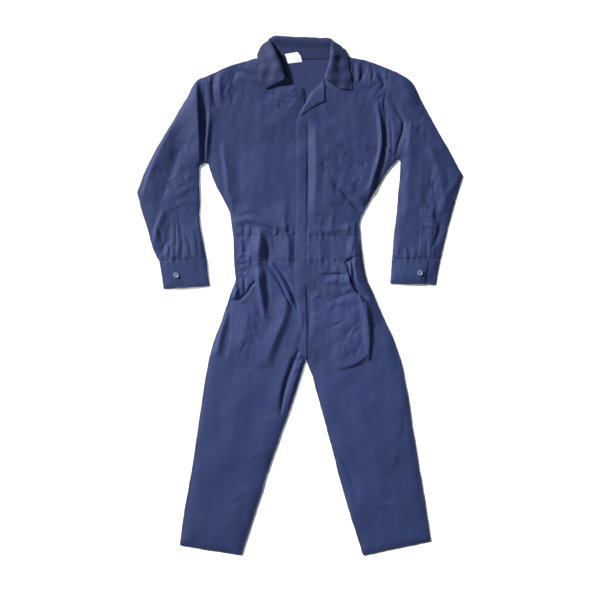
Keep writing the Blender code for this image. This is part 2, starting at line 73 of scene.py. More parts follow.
TORSO = table(
    "side_right front_right front_left side_left",
    ((-199, 179), (14, 179), (22, 179), (182, 179)),
    ((-204, 215), (14, 215), (22, 215), (179, 215)),
    ((-210, 251), (14, 252), (22, 252), (194, 253)),
    ((-228, 287), (14, 294), (22, 294), (213, 290)),
    ((-253, 335), (14, 345), (22, 345), (241, 337)),
    ((-270, 380), (14, 394), (22, 394), (271, 382)),
    ((-275, 397), (14, 422), (22, 422), (296, 409)),
    ((-272, 443), (14, 460), (22, 460), (265, 448)),
    ((-269, 491), (14, 502), (22, 502), (254, 496)),
    ((-265, 541), (14, 541), (22, 541), (251, 544)),
    ((-264, 583), (14, 583), (23, 588), (256, 589)),
    ((-271, 620), (12, 622), (34, 610), (265, 634)),
    ((-278, 660), (-34, 639), (74, 640), (266, 682)),
    ((-203, 692), (-79, 667), (115, 676), (212, 702)),
    ((-129, 713), (-110, 702), (140, 706), (151, 717)),
)
UNDERARM_ROW = 6
SHOULDER_ROW = 12
TORSO_CORNERS = (UNDERARM_ROW, SHOULDER_ROW)


def curve(points, corners=()):
    """A smooth run through points, broken at its corners. Its function takes places, whole at each point."""
    points = np.asarray(points, float)
    chord = np.linalg.norm(np.diff(points, axis=0), axis=1)[:, None]
    slope = np.diff(points, axis=0) / chord
    arriving = np.vstack([slope[:1], slope])
    leaving = np.vstack([slope, slope[-1:]])
    if len(points) > 2:
        share = chord[1:] / (chord[:-1] + chord[1:])
        middle = slope[:-1] * share + slope[1:] * (1 - share)
        for index in range(1, len(points) - 1):
            if index not in corners:
                arriving[index] = leaving[index] = middle[index - 1]

    def at(place):
        place = np.asarray(place, float)
        index = np.clip(place.astype(int), 0, len(points) - 2)
        u = (place - index)[..., None]
        start, end, reach = points[index], points[index + 1], chord[index]
        ease = u * u * (3 - 2 * u)
        return (
            start * (1 - ease)
            + end * ease
            + leaving[index] * reach * u * (1 - u) ** 2
            - arriving[index + 1] * reach * u * u * (1 - u)
        )

    return at


def run_of(points, corners=(), steps=4):
    """The same run as short straight pieces."""
    return curve(points, corners)(np.linspace(0, len(points) - 1, steps * (len(points) - 1) + 1))


def reached(points):
    """How far along a run of points each of them is."""
    return np.concatenate([[0.0], np.cumsum(np.linalg.norm(np.diff(points, axis=0), axis=1))])


def down_the_middle(left_at, right_at, rows):
    """Fine place numbers down a panel, and how far down its middle each of them is."""
    places = np.linspace(0, rows - 1, 24 * (rows - 1) + 1)
    return places, reached((left_at(places) + right_at(places)) / 2)


def ruled(left, right, corners=()):
    """A panel's plan, straight from its left edge to its right one, with even rows down its middle."""
    left_at, right_at = curve(left, corners), curve(right, corners)
    places, length = down_the_middle(left_at, right_at, len(left))

    def plan(across, along):
        place = np.interp(along * length[-1], length, places)
        start, end = left_at(place), right_at(place)
        width = np.linalg.norm(end - start, axis=1)
        return start + (end - start) * across[:, None], width, length[-1]

    return plan


def waves(x, y, length, seed):
    """Smooth unevenness about zero, with humps about this length apart."""
    rng = np.random.default_rng(seed)
    total = np.zeros_like(x)
    for _ in range(9):
        angle, phase, scale = rng.uniform(0, math.tau, 2).tolist() + [rng.uniform(0.6, 1.6)]
        total += np.sin(math.tau * scale * (x * math.cos(angle) + y * math.sin(angle)) / length + phase)
    return total / 3.0


def wobble(spots):
    """Sewn edges are never quite straight. The same small shift at a place keeps pieces together there."""
    x, y = spots[:, 0], spots[:, 1]
    shift_x = waves(x, y, 30, 1) * 0.35 + waves(x, y, 90, 2) * 0.5
    shift_y = waves(x, y, 34, 3) * 0.3 + waves(x, y, 90, 4) * 0.4
    return spots + np.stack([shift_x, shift_y], axis=1)


def grid_mesh(name, columns, rows, place, closed=False):
    """A grid of cloth. place gives its points, their places on the flat cut and how far in from a seam."""
    bm = bmesh.new()
    bmesh.ops.create_grid(bm, x_segments=columns, y_segments=rows, size=1.0)
    mesh = bpy.data.meshes.new(name)
    bm.to_mesh(mesh)
    square = np.empty(len(mesh.vertices) * 3, np.float32)
    mesh.vertices.foreach_get("co", square)
    square = (square.reshape(-1, 3).astype(float) + 1) / 2
    spots, flat, edge = place(square[:, 0], square[:, 1])
    mesh.vertices.foreach_set("co", (spots * MM).astype(np.float32).ravel())
    corner = np.empty(len(mesh.loops), np.int32)
    mesh.loops.foreach_get("vertex_index", corner)
    mesh.uv_layers.new(name="Cut").data.foreach_set("uv", (flat[corner] * MM).astype(np.float32).ravel())
    mesh.attributes.new("edge", "FLOAT", "POINT").data.foreach_set("value", edge.astype(np.float32))
    bm.clear()
    bm.from_mesh(mesh)
    if closed:
        bmesh.ops.remove_doubles(bm, verts=bm.verts, dist=1e-6)
    bm.normal_update()
    if sum(face.normal.z * face.calc_area() * (face.verts[0].co.z + 0.5 * MM) for face in bm.faces) < 0:
        bmesh.ops.reverse_faces(bm, faces=bm.faces)
    bm.to_mesh(mesh)
    bm.free()
    return mesh


def panel(plan, height, stitched):
    """The place function of a ruled panel. stitched names its sewn edges: l, r, b and t."""

    def place(across, along):
        spots, width, length = plan(across, along)
        inwards = {"l": across * width, "r": (1 - across) * width,
                   "b": along * length, "t": (1 - along) * length}
        edge = np.full(len(spots), FAR)
        for side in stitched:
            edge = np.minimum(edge, inwards[side])
        flat = np.stack([(across - 0.5) * width, along * length], axis=1)
        spots = wobble(spots)
        z = height(spots[:, 0], spots[:, 1])
        return np.column_stack([spots, z]), flat, edge

    return place


def adder(tree):
    """A shorthand for adding nodes to a tree. An input is another node's socket or a value."""

    def add(kind, inputs=(), **settings):
        node = tree.nodes.new(kind)
        for key, value in settings.items():
            setattr(node, key, value)
        for key, value in dict(inputs).items():
            if isinstance(value, bpy.types.NodeSocket):
                tree.links.new(value, node.inputs[key])
            else:
                node.inputs[key].default_value = value
        return node

    return add


def maths(add, operation, *values):
    """The result of a Math node. Its values fill its sockets in order."""
    return add("ShaderNodeMath", dict(enumerate(values)), operation=operation).outputs[0]


def new_weave(name):
    """An empty shader group for a weave, which puts out its tone and its height."""
    group = bpy.data.node_groups.new(name, "ShaderNodeTree")
    for label in ("Tone", "Height"):
        group.interface.new_socket(label, in_out="OUTPUT", socket_type="NodeSocketFloat")
    return group, adder(group)


def make_twill():
    """Twill: fine diagonal ribs, yarns that vary a little, worn blotches, and grooves along the seams, with
    painted shade in them.
    """
    group, add = new_weave("twill")
    cut = add("ShaderNodeUVMap", uv_map="Cut").outputs["UV"]
    place = add("ShaderNodeTexCoord").outputs["Object"]
    ribs = add("ShaderNodeTexWave", {"Vector": cut, "Scale": 360.0, "Distortion": 1.2, "Detail": 1.0,
                                     "Detail Scale": 0.6}, wave_type="BANDS", bands_direction="DIAGONAL")
    yarn = add("ShaderNodeTexNoise", {"Vector": cut, "Scale": 900.0, "Detail": 2.0, "Roughness": 0.6})
    blotch = add("ShaderNodeTexNoise", {"Vector": place, "Scale": 9.0, "Detail": 4.0, "Roughness": 0.6})
    stretched = add("ShaderNodeMapping", {"Vector": cut, "Scale": (260.0, 14.0, 1.0)}).outputs["Vector"]
    streak = add("ShaderNodeTexNoise", {"Vector": stretched, "Scale": 1.0, "Detail": 2.0})
    edge = add("ShaderNodeAttribute", attribute_name="edge").outputs["Fac"]
    grooves = []
    for distance in FELLED_ROWS:
        away = maths(add, "ABSOLUTE", maths(add, "SUBTRACT", edge, distance))
        near_it = add("ShaderNodeMapRange", {"Value": away, "From Min": 0.0, "From Max": 1.1, "To Min": 1.0,
                                             "To Max": 0.0}, interpolation_type="SMOOTHSTEP")
        grooves.append(near_it.outputs["Result"])
    groove = maths(add, "MAXIMUM", *grooves)
    tone, height = 0.83, 0.0
    for part, weight in ((blotch, 0.34), (yarn, 0.16), (streak, 0.10), (ribs, 0.10)):
        tone = maths(add, "MULTIPLY_ADD", part.outputs["Fac"], weight, tone)
    for part, weight in ((ribs, 0.12), (yarn, 0.10)):
        height = maths(add, "MULTIPLY_ADD", part.outputs["Fac"], weight, height)
    # Painted shade: the cloth is painted darker along the stitch grooves.
    tone = maths(add, "MULTIPLY_ADD", groove, -0.13, tone)
    height = maths(add, "MULTIPLY_ADD", groove, -0.5, height)
    add("NodeGroupOutput", {"Tone": tone, "Height": height})
    return group


def new_material(name):
    """An empty material and the shorthand for its nodes."""
    material = bpy.data.materials.new(name)
    material.use_nodes = True
    material.node_tree.nodes.clear()
    return material, adder(material.node_tree)


def shade(add, **inputs):
    """The material's one shader and its output. Each input's name has _ for a space."""
    named = {name.replace("_", " "): value for name, value in inputs.items()}
    shader = add("ShaderNodeBsdfPrincipled", named)
    add("ShaderNodeOutputMaterial", {"Surface": shader.outputs["BSDF"]})


def woven_material(name, weave, colour, relief, finish):
    """A material with the tone and the height of a weave. relief is its bump's strength and depth."""
    material, add = new_material(name)
    cloth = add("ShaderNodeGroup", node_tree=weave)
    tint = add("ShaderNodeMix", {0: 1.0, 6: colour, 7: cloth.outputs["Tone"]}, data_type="RGBA",
               blend_type="MULTIPLY")
    bump = add("ShaderNodeBump", {"Strength": relief[0], "Distance": relief[1],
                                  "Height": cloth.outputs["Height"]})
    shade(add, Base_Color=tint.outputs[2], Normal=bump.outputs["Normal"], **finish)
    return material


TWILL = make_twill()
TWILL_RELIEF = (0.5, 0.0006)
TWILL_FINISH = {"Roughness": 0.72, "Specular_IOR_Level": 0.32, "Sheen_Weight": 0.06, "Sheen_Roughness": 0.55,
                "Sheen_Tint": (0.62, 0.70, 1.0, 1.0)}
NAVY = (0.0095, 0.0190, 0.0755, 1.0)
NAVY_TWILL = woven_material("navy cotton twill", TWILL, NAVY, TWILL_RELIEF, TWILL_FINISH)


def shown(name, data):
    """A new object in the scene with this mesh, light or camera."""
    obj = bpy.data.objects.new(name, data)
    bpy.context.scene.collection.objects.link(obj)
    return obj


def piece_of_cloth(node, columns, rows, place, closed=False, material=NAVY_TWILL,
                   thickness=CLOTH, offset=1.0):
    """A piece of the suit: its sheet, with a wall, a soft edge and a material, in place of its CAD node."""
    mesh = grid_mesh(node + "_cloth", columns, rows, place, closed)
    obj = shown(node + "_cloth", mesh)
    mesh.materials.append(material)
    mesh.shade_smooth()
    wall = obj.modifiers.new("Wall", "SOLIDIFY")
    wall.thickness = thickness * MM
    wall.offset = offset
    wall.use_even_offset = False
    soft = obj.modifiers.new("Soft edge", "BEVEL")
    soft.limit_method = "ANGLE"
    soft.angle_limit = math.radians(62)
    soft.width = 0.3 * thickness * MM
    soft.segments = 2
    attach(obj, "root")
    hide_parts(node)


def on_floor(x, y):
    """The height of a panel that lies on the floor."""
    return np.zeros_like(x)


BACK_PLAN = ruled(column(TORSO, "side_right"), column(TORSO, "side_left"), TORSO_CORNERS)
piece_of_cloth("back_body", 76, 86, panel(BACK_PLAN, on_floor, "lrt"))

# ----------------------------------------
# The fronts of the body, on the back. This is where the lie of all the upper cloth is worked out: how it
# lifts off the under cloth, its creases, and the gathering along its seams.

LEGS = table(
    "outer_right inner_right inner_left outer_left",
    ((-197, 105), (14, 105), (22, 105), (189, 105)),
    ((-194, 70), (14, 70), (22, 70), (195, 70)),
    ((-193, 41), (14, 41), (22, 41), (203, 41)),
    ((-202, 19), (14, 19), (23, 19), (214, 19)),
    ((-217, -26), (14, -26), (23, -26), (233, -26)),
    ((-234, -77), (16, -77), (24, -77), (256, -77)),
    ((-257, -137), (17, -137), (25, -137), (283, -137)),
    ((-274, -196), (18, -194), (26, -194), (304, -196)),
    ((-282, -245), (2, -245), (39, -245), (314, -245)),
    ((-293, -314), (-20, -314), (58, -314), (326, -314)),
    ((-307, -410), (-54, -410), (84, -410), (340, -410)),
    ((-322, -512), (-90, -512), (111, -512), (357, -512)),
    ((-343, -629), (-127, -629), (143, -629), (377, -629)),
    ((-361, -750), (-176, -780), (191, -780), (393, -737)),
)
CROTCH_ROW = 7
SLEEVE_RIGHT = table(
    "outer inner",
    ((-308, 646), (-286, 397)),
    ((-338, 595), (-300, 389)),
    ((-380, 526), (-302, 365)),
    ((-422, 456), (-302, 338)),
    ((-459, 387), (-300, 310)),
    ((-489, 311), (-300, 280)),
    ((-475, 259), (-302, 244)),
    ((-458, 201), (-296, 197)),
    ((-441, 143), (-287, 148)),
    ((-424, 104), (-280, 110)),
)
SLEEVE_LEFT = table(
    "outer inner",
    ((296, 669), (302, 409)),
    ((330, 648), (305, 398)),
    ((362, 592), (303, 376)),
    ((404, 514), (301, 352)),
    ((446, 441), (299, 325)),
    ((489, 361), (296, 295)),
    ((474, 310), (292, 262)),
    ((457, 250), (289, 226)),
    ((442, 190), (284, 185)),
    ((430, 143), (280, 143)),
    ((423, 110), (278, 110)),
)
SLEEVE_CORNERS = (6,)
CUFF_RIGHT = table(
    "outer inner", ((-423, 103), (-279, 109)), ((-415, 62), (-274, 66)), ((-409, 20), (-270, 28)),
)
CUFF_LEFT = table(
    "outer inner", ((422, 109), (277, 109)), ((415, 71), (275, 71)), ((409, 33), (272, 36)),
)

# How far the upper cloth lifts off the under cloth, and how soon inside the outline. Then how much higher and
# narrower each fold is than its row says.
CROWN_HEIGHT = 4.4
CROWN_REACH = 15.0
FULLNESS = 2.0
TIGHTNESS = 0.95

# Each crease runs from its foot to its top. A trough has a height below zero. Left and right are its half
# widths.
FOLDS = table(
    "points height left right",
    # On the body and the shoulders.
    (((24, 190), (24, 380), (25, 540)), -1.7, 4, 26),
    (((-212, 278), (-220, 370), (-232, 460)), 3.2, 12, 39),
    (((-200, 244), (-208, 298)), 2, 9, 21),
    (((-222, 688), (-176, 676), (-118, 656)), -3.0, 9, 26),
    (((-252, 560), (-262, 620), (-258, 676)), -3.0, 10, 20),
    (((-236, 584), (-240, 634), (-232, 680)), 1.8, 16, 14),
    (((-206, 634), (-196, 662), (-180, 690)), -1.2, 12, 12),
    (((-184, 664), (-152, 652), (-112, 632)), 1.8, 29, 18),
    (((-108, 610), (-60, 598), (-8, 592)), -1.2, 9, 9),
    (((-112, 590), (-62, 582), (-12, 572)), -0.9, 9, 10),
    (((-96, 566), (-56, 564), (-16, 554)), -0.7, 10, 12),
    (((-100, 590), (-46, 578), (-2, 556)), 0.8, 22, 12),
    (((-32, 610), (-4, 626), (4, 610)), 1, 22, 9),
    (((46, 240), (50, 392), (48, 530)), 5.0, 25, 120),
    (((-200, 214), (-154, 230), (-106, 218), (-34, 196)), 4.2, 18, 21),
    (((-190, 244), (-154, 256), (-112, 238)), 1.7, 29, 18),
    (((32, 200), (98, 194), (170, 206)), 1.8, 21, 15),
    (((205, 292), (228, 372), (246, 450), (244, 512), (232, 590)), 4.2, 14, 7),
    (((214, 300), (240, 374), (257, 446), (258, 520), (252, 606)), -3.0, 6, 16),
    (((276, 396), (278, 470), (268, 560)), -1.4, 10, 8),
    (((256, 620), (244, 650), (226, 682)), -2.2, 7, 20),
    (((184, 640), (188, 670), (188, 704)), -2.4, 9, 22),
    (((262, 620), (252, 650), (240, 680)), -2.0, 14, 7),
    (((216, 640), (222, 664), (216, 694)), -1.8, 12, 8),
    (((164, 646), (164, 682), (160, 706)), -1.8, 8, 20),
    (((176, 640), (176, 670), (172, 700)), 1.4, 19, 8),
    (((190, 244), (152, 290), (100, 334)), -4.4, 15, 21),
    (((188, 286), (158, 316), (116, 352)), 1.8, 36, 18),
    (((200, 272), (218, 322), (224, 370)), 1.8, 43, 12),
    (((-112, 272), (-124, 406), (-112, 532)), 1.6, 96, 90),
    (((136, 472), (158, 550), (152, 610)), 1.5, 72, 66),
    (((-40, 190), (-44, 244), (-34, 292)), 1, 29, 15),
    (((-178, 178), (-172, 208)), 1.2, 17, 7),
    (((-148, 178), (-152, 214)), 1.4, 19, 7),
    (((-70, 178), (-68, 208)), 1, 17, 8),
    (((-38, 178), (-44, 220)), 1.3, 17, 7),
    (((-20, 178), (-22, 212)), 0.9, 14, 6),
    (((56, 178), (62, 214), (70, 244)), 0.9, 19, 9),
    (((94, 178), (98, 220), (104, 256)), 0.9, 22, 9),
    (((142, 178), (148, 220)), 1.2, 19, 9),
    (((166, 178), (164, 220)), 1.1, 17, 7),
    # On the right sleeve.
    (((-300, 372), (-300, 430), (-304, 540), (-309, 655)), 8.2, 74, 10),
    (((-291, 420), (-288, 500), (-286, 590), (-284, 650)), -1.6, 12, 16),
    (((-280, 392), (-278, 460), (-266, 556)), 3.6, 15, 14),
    (((-476, 288), (-446, 382), (-398, 484), (-336, 604)), 4.6, 8, 64),
    (((-420, 250), (-402, 330), (-372, 400), (-352, 470)), -1.6, 34, 20),
    (((-404, 128), (-412, 170), (-428, 214)), -1.4, 14, 10),
    (((-386, 118), (-392, 168), (-388, 226)), -1.4, 12, 6),
    (((-372, 124), (-370, 178), (-374, 232)), -1.5, 11, 5),
    (((-350, 116), (-352, 168), (-360, 214)), -1.1, 12, 6),
    (((-322, 116), (-330, 158), (-342, 190)), -1.1, 12, 6),
    (((-300, 122), (-296, 190), (-300, 262)), 1.5, 24, 12),
    (((-376, 326), (-338, 350), (-302, 374)), 1.4, 24, 15),
    (((-382, 292), (-340, 316), (-302, 334)), 1, 24, 14),
    (((-400, 256), (-352, 278), (-304, 290)), 0.9, 26, 14),
    (((-440, 136), (-428, 202), (-406, 262)), 3.2, 12, 21),
    (((-418, 124), (-400, 166), (-394, 208)), -2, 9, 22),
    (((-398, 110), (-392, 158)), 1.8, 17, 7),
    (((-364, 110), (-358, 166), (-368, 214)), 1.5, 22, 9),
    (((-334, 110), (-338, 154)), 1.4, 19, 8),
    (((-308, 110), (-316, 166), (-322, 202)), 1.5, 22, 10),
    (((-382, 110), (-380, 140)), 1, 12, 5),
    (((-292, 110), (-296, 146)), 1, 14, 6),
    # On the left sleeve.
    (((286, 404), (296, 450), (311, 517), (292, 556), (268, 604)), -2.6, 9, 15),
    (((322, 420), (330, 470), (334, 530)), 2.2, 18, 60),
    (((356, 574), (326, 610), (298, 652)), 2, 27, 27),
    (((322, 244), (326, 358), (334, 466)), 1.8, 30, 36),
    (((434, 244), (424, 346), (386, 472)), 2.2, 27, 24),
    (((424, 244), (452, 316), (484, 356)), 1.1, 29, 18),
    (((412, 262), (440, 328), (478, 368)), -0.7, 12, 20),
    (((368, 250), (362, 320), (372, 390)), 1.0, 24, 14),
    (((392, 262), (390, 330), (404, 400)), -0.8, 12, 14),
    (((360, 224), (392, 236), (420, 232)), -0.9, 6, 12),
    (((354, 200), (388, 208), (414, 204)), 0.9, 14, 7),
    (((314, 524), (340, 526), (368, 524)), -0.9, 6, 13),
    (((381, 96), (383, 136), (383, 176)), -1.5, 5, 3),
    (((404, 148), (416, 190), (424, 220)), -2.1, 9, 22),
    (((410, 178), (404, 220), (394, 262)), 1.7, 29, 12),
    (((296, 110), (296, 154)), 1.1, 17, 7),
    (((322, 110), (320, 148)), 1.3, 19, 8),
    (((346, 110), (346, 142)), 1, 17, 7),
    (((400, 110), (406, 148)), 1.4, 19, 8),
    # Across the waistband.
    (((-126, 88), (-122, 142), (-114, 206)), 7.6, 40, 36),
    (((-92, 86), (-98, 136), (-104, 190)), -3.2, 12, 20),
    (((-34, 78), (-32, 130), (-36, 190)), 3.8, 50, 22),
    (((158, 106), (158, 142), (164, 178)), 3.4, 21, 12),
    (((56, 100), (62, 142), (56, 178)), 1.8, 21, 36),
    (((-180, 112), (-172, 140), (-176, 172)), 1.6, 14, 8),
    (((-150, 112), (-147, 138), (-150, 160)), 1.2, 12, 6),
    # On the trousers.
    (((-213, -14), (-180, -14), (-158, 4), (-144, 26), (-128, 44)), -6.0, 12, 4),
    (((205, -14), (184, 1), (168, 17), (156, 40), (150, 64)), -6.0, 4, 24),
    (((-206, 6), (-196, 24), (-186, 44)), 3.0, 12, 8),
    (((-104, -70), (-118, 8), (-129, 112)), 6.2, 13, 27),
    (((-94, -62), (-100, -2), (-104, 82)), -2, 12, 33),
    (((-12, -46), (-34, 4), (-58, 54), (-92, 104)), 2.8, 7, 5),
    (((-18, -48), (-42, 0), (-67, 48), (-102, 96)), -3.6, 5, 12),
    (((-4, -40), (-24, 8), (-47, 56), (-78, 98)), -3.4, 4, 10),
    (((-104, -212), (-74, -134), (-44, -56), (-34, 28)), 3.8, 39, 24),
    (((-16, -150), (2, -100), (10, -38)), 1.2, 30, 12),
    (((-58, -362), (-44, -286), (-20, -212), (0, -156)), -5.0, 9, 7),
    (((-30, -188), (-14, -198), (4, -196)), -1.8, 6, 4),
    (((-22, -170), (-6, -182), (8, -184)), 1.4, 7, 4),
    (((-38, -350), (-26, -296), (-4, -230), (14, -176)), 2.2, 24, 12),
    (((-68, -338), (-56, -278), (-34, -206), (-16, -158)), 2, 43, 9),
    (((-20, -226), (-4, -220), (10, -218)), 1.4, 12, 5),
    (((-250, -182), (-236, -110), (-214, -38)), 5, 15, 21),
    (((-196, -14), (-188, 28)), 5, 12, 12),
    (((-164, 10), (-166, 58)), -5, 8, 8),
    (((-176, -170), (-160, -98), (-152, -26)), 3, 42, 45),
    (((-190, 88), (-168, 96), (-140, 92)), -1.9, 7, 4),
    (((-190, 68), (-170, 74), (-148, 70)), -1.7, 7, 4),
    (((-184, 48), (-168, 54), (-152, 50)), -1.5, 6, 4),
    (((-188, 116), (-166, 122), (-140, 118)), 1.3, 10, 6),
    (((27, -128), (27, -50), (21, 28)), -3.2, 9, 22),
    (((134, 94), (152, 110), (176, 118)), -2.7, 7, 15),
    (((156, 44), (154, 76), (152, 104)), 3.6, 9, 9),
    (((66, 64), (110, 64), (146, 66)), -3.2, 6, 14),
    (((68, 34), (110, 44), (152, 28)), 1.5, 22, 12),
    (((92, -14), (134, 2), (176, 16)), -1.4, 8, 20),
    (((80, -38), (122, -22), (158, -20)), 1.1, 22, 10),
    (((94, -88), (112, -86), (130, -80)), -1.1, 6, 13),
    (((34, -14), (52, -2), (68, 4)), 1, 17, 8),
    (((34, -70), (52, -64), (70, -62)), 0.8, 17, 8),
    (((208, -196), (210, -110), (200, -20)), 4.4, 27, 7),
    (((206, -90), (176, 20), (166, 80), (168, 170)), 5.4, 8, 60),
    (((110, -218), (166, -206), (206, -176)), 1.8, 24, 9),
    (((-232, -524), (-190, -374), (-178, -242)), 1.6, 60, 72),
    (((256, -614), (212, -434), (158, -268)), 1.7, 66, 78),
    (((310, -434), (314, -386), (310, -338)), -0.8, 14, 28),
    (((266, -536), (284, -494), (298, -452)), 0.5, 26, 16),
    (((176, -628), (152, -548), (118, -458)), -0.9, 20, 44),
    (((200, -614), (178, -548), (148, -482)), 0.6, 40, 24),
    (((-220, -622), (-184, -602), (-136, -578)), 0.5, 24, 16),
    (((-214, -662), (-178, -638), (-146, -622)), 0.4, 24, 14),
    (((-154, -500), (-124, -470), (-94, -454)), 0.5, 24, 16),
    (((-112, -386), (-82, -370), (-56, -368)), 0.6, 22, 14),
    (((212, -638), (260, -628), (308, -632)), 0.7, 29, 15),
)

# Where the cloth is crumpled: the middle of the place, its radius and how much.
CRUMPLED = table(
    "x y radius amount",
    (-170, 80, 46, 0.8), (-60, 200, 60, 0.7), (110, 20, 70, 1.2), (-10, -200, 46, 0.8),
    (160, -120, 80, 0.7), (-150, -130, 80, 0.6), (-375, 340, 80, 0.9), (390, 300, 80, 0.9),
    (150, 350, 90, 0.7), (-200, 630, 70, 0.9), (220, 640, 70, 0.9), (-330, 470, 70, 0.7),
    (-50, 590, 50, 0.7), (350, 520, 70, 0.6), (420, 180, 50, 0.7), (-390, 180, 50, 0.7),
)

# Seams that pull the cloth in: their run, how high the doubled cloth stands on their left and right, and
# how much the cloth beside them puckers.
SEAMS = table(
    "points left right pucker",
    (column(TORSO[UNDERARM_ROW : SHOULDER_ROW + 1], "side_right"), 0.5, 0.0, 0.8),
    (column(TORSO[UNDERARM_ROW : SHOULDER_ROW + 1], "side_left"), 0.3, 0.0, 0.8),
    ([(-199, 179), (14, 179)], 0.2, 0.2, 1.2),
    ([(22, 179), (182, 179)], 0.2, 0.2, 1.1),
    ([(-197, 105), (14, 105)], 0.4, 0.0, 1.1),
    ([(22, 105), (189, 105)], 0.4, 0.0, 1.0),
    ([(21.8, 107), (21.8, 576)], 0.0, 0.0, 0.5),
    ([(-424, 104), (-280, 110)], 0.0, 0.3, 1.1),
    ([(278, 110), (423, 110)], 0.3, 0.0, 1.1),
)


def outline_chains():
    """The runs of the suit's outline, where the upper cloth comes down to the under cloth."""
    chains = []
    for side, sleeve, cuff in (("right", SLEEVE_RIGHT, CUFF_RIGHT), ("left", SLEEVE_LEFT, CUFF_LEFT)):
        outer = column(LEGS[::-1], "outer_" + side)
        inner = column(LEGS[CROTCH_ROW:], "inner_" + side)
        seam = column(TORSO, "side_" + side)
        front = column(TORSO[SHOULDER_ROW - 2 :], "front_" + side)
        arm = sleeve + cuff[1:]
        chains += [
            run_of(outer + seam[: UNDERARM_ROW + 1]), run_of(inner), run_of([outer[0], inner[-1]]),
            run_of(seam[SHOULDER_ROW:]), run_of(front),
            run_of([seam[SHOULDER_ROW]] + column(arm, "outer"), SLEEVE_CORNERS),
            run_of([seam[UNDERARM_ROW]] + column(arm, "inner")), run_of([arm[-1].outer, arm[-1].inner]),
        ]
    return chains


def from_line(x, y, points):
    """How far each place is from a run of points, above zero on its left, and its share of the way along."""
    points = np.asarray(points, float)
    length, before = np.linalg.norm(np.diff(points, axis=0), axis=1), reached(points)
    nearest, side, along = (np.full(x.shape, value) for value in (1e9, 1.0, 0.0))
    for start, end, reach, done in zip(points, points[1:], length, before):
        run = (end - start) / reach
        dx, dy = x - start[0], y - start[1]
        step = np.clip(dx * run[0] + dy * run[1], 0.0, reach)
        far = np.hypot(dx - step * run[0], dy - step * run[1])
        closer = far < nearest
        nearest = np.where(closer, far, nearest)
        side = np.where(closer, np.sign(run[0] * dy - run[1] * dx), side)
        along = np.where(closer, done + step, along)
    return nearest * side, along / before[-1]


def fold_rise(fold, x, y):
    """A rounded ridge, or a trough with a narrower bottom, that dies away at both ends."""
    distance, along = from_line(x, y, run_of(fold.points))
    share = np.minimum(np.abs(distance) / (TIGHTNESS * np.where(distance > 0, fold.left, fold.right)), 1.0)
    if fold.height > 0:
        section = 0.3 * np.cos(math.pi / 2 * share) ** 2 + 0.7 * (1 - share) ** 1.45
    else:
        section = (1 - share) ** 1.7
    return FULLNESS * fold.height * np.sin(math.pi * np.clip(along, 0.0, 1.0)) ** 0.7 * section


def seam_rise(seam, x, y):
    """The doubled cloth beside a seam, the groove of the seam and the puckers that its thread draws in."""
    distance, along = from_line(x, y, run_of(seam.points))
    away = np.abs(distance)
    doubled = np.where(distance > 0, seam.left, seam.right) * np.clip((11.0 - away) / 3.0, 0.0, 1.0)
    groove = -0.6 * np.exp(-((away / 3.5) ** 2))
    length = reached(seam.points)[-1]
    draw = waves(along * length, away * 0.25, 24, 40) + 0.35 * waves(along * length, away * 0.2, 12, 41)
    return doubled + groove + 0.8 * seam.pucker * draw * np.exp(-away / 13.0)


def near(points, reach, x, y):
    """Which places lie in the box round a run of points, grown by reach."""
    low, high = np.min(points, axis=0) - reach, np.max(points, axis=0) + reach
    return (x > low[0]) & (x < high[0]) & (y > low[1]) & (y < high[1])


# The grid over the suit, and the least height that a trough leaves under the upper cloth.
LIE_LOW, LIE_HIGH, LIE_STEP = (-510.0, -800.0), (510.0, 800.0), 1.6
LEAST_RISE = 0.5


def lie_of_the_cloth():
    """The height of the upper cloth over the under cloth, on a fine grid of places over the whole suit."""
    across = np.arange(LIE_LOW[0], LIE_HIGH[0], LIE_STEP)
    up = np.arange(LIE_LOW[1], LIE_HIGH[1], LIE_STEP)
    x, y = (part.ravel() for part in np.meshgrid(across, up))
    inside = np.full(x.shape, 90.0)
    for chain in outline_chains():
        for start in range(0, len(chain) - 1, 6):
            points = chain[start : start + 7]
            close = near(points, 90.0, x, y)
            distance, _ = from_line(x[close], y[close], points)
            inside[close] = np.minimum(inside[close], np.abs(distance))
    rise = CROWN_HEIGHT * (1 - np.exp(-inside / CROWN_REACH))
    # Broad, middling and fine unevenness, calmer on the lower legs, and small puckers just inside the outline.
    calm = 1 - 0.45 * np.clip((-180 - y) / 80, 0.0, 1.0)
    rise += 1.2 * waves(x, y, 170, 5) + calm * (0.6 * waves(x, y, 70, 6) + 0.22 * waves(x, y * 0.6, 28, 8))
    rise += 0.35 * waves(x, y, 17, 7) * np.exp(-(((inside - 6) / 6) ** 2))
    for spot in CRUMPLED:
        close = near([(spot.x, spot.y)], 2.2 * spot.radius, x, y)
        px, py = x[close], y[close]
        bent = waves(px + 7 * waves(px, py, 60, 9), 0.55 * py + 7 * waves(px, py, 70, 10), 42, 600 + spot.x)
        mask = np.exp(-(np.hypot(px - spot.x, py - spot.y) / spot.radius) ** 2)
        rise[close] += 1.7 * spot.amount * mask * (0.5 - np.abs(bent))
    for fold in FOLDS:
        close = near(fold.points, max(fold.left, fold.right), x, y)
        rise[close] += fold_rise(fold, x[close], y[close])
    for seam in SEAMS:
        close = near(seam.points, 40.0, x, y)
        rise[close] += seam_rise(seam, x[close], y[close])
    rise *= 1 - np.exp(-inside / 4.0)
    soft_floor = LEAST_RISE * np.exp(np.minimum(rise / LEAST_RISE - 1.0, 0.0))
    rise = np.where(rise < LEAST_RISE, soft_floor, rise)
    return rise.reshape(len(up), len(across))


LIE = lie_of_the_cloth()


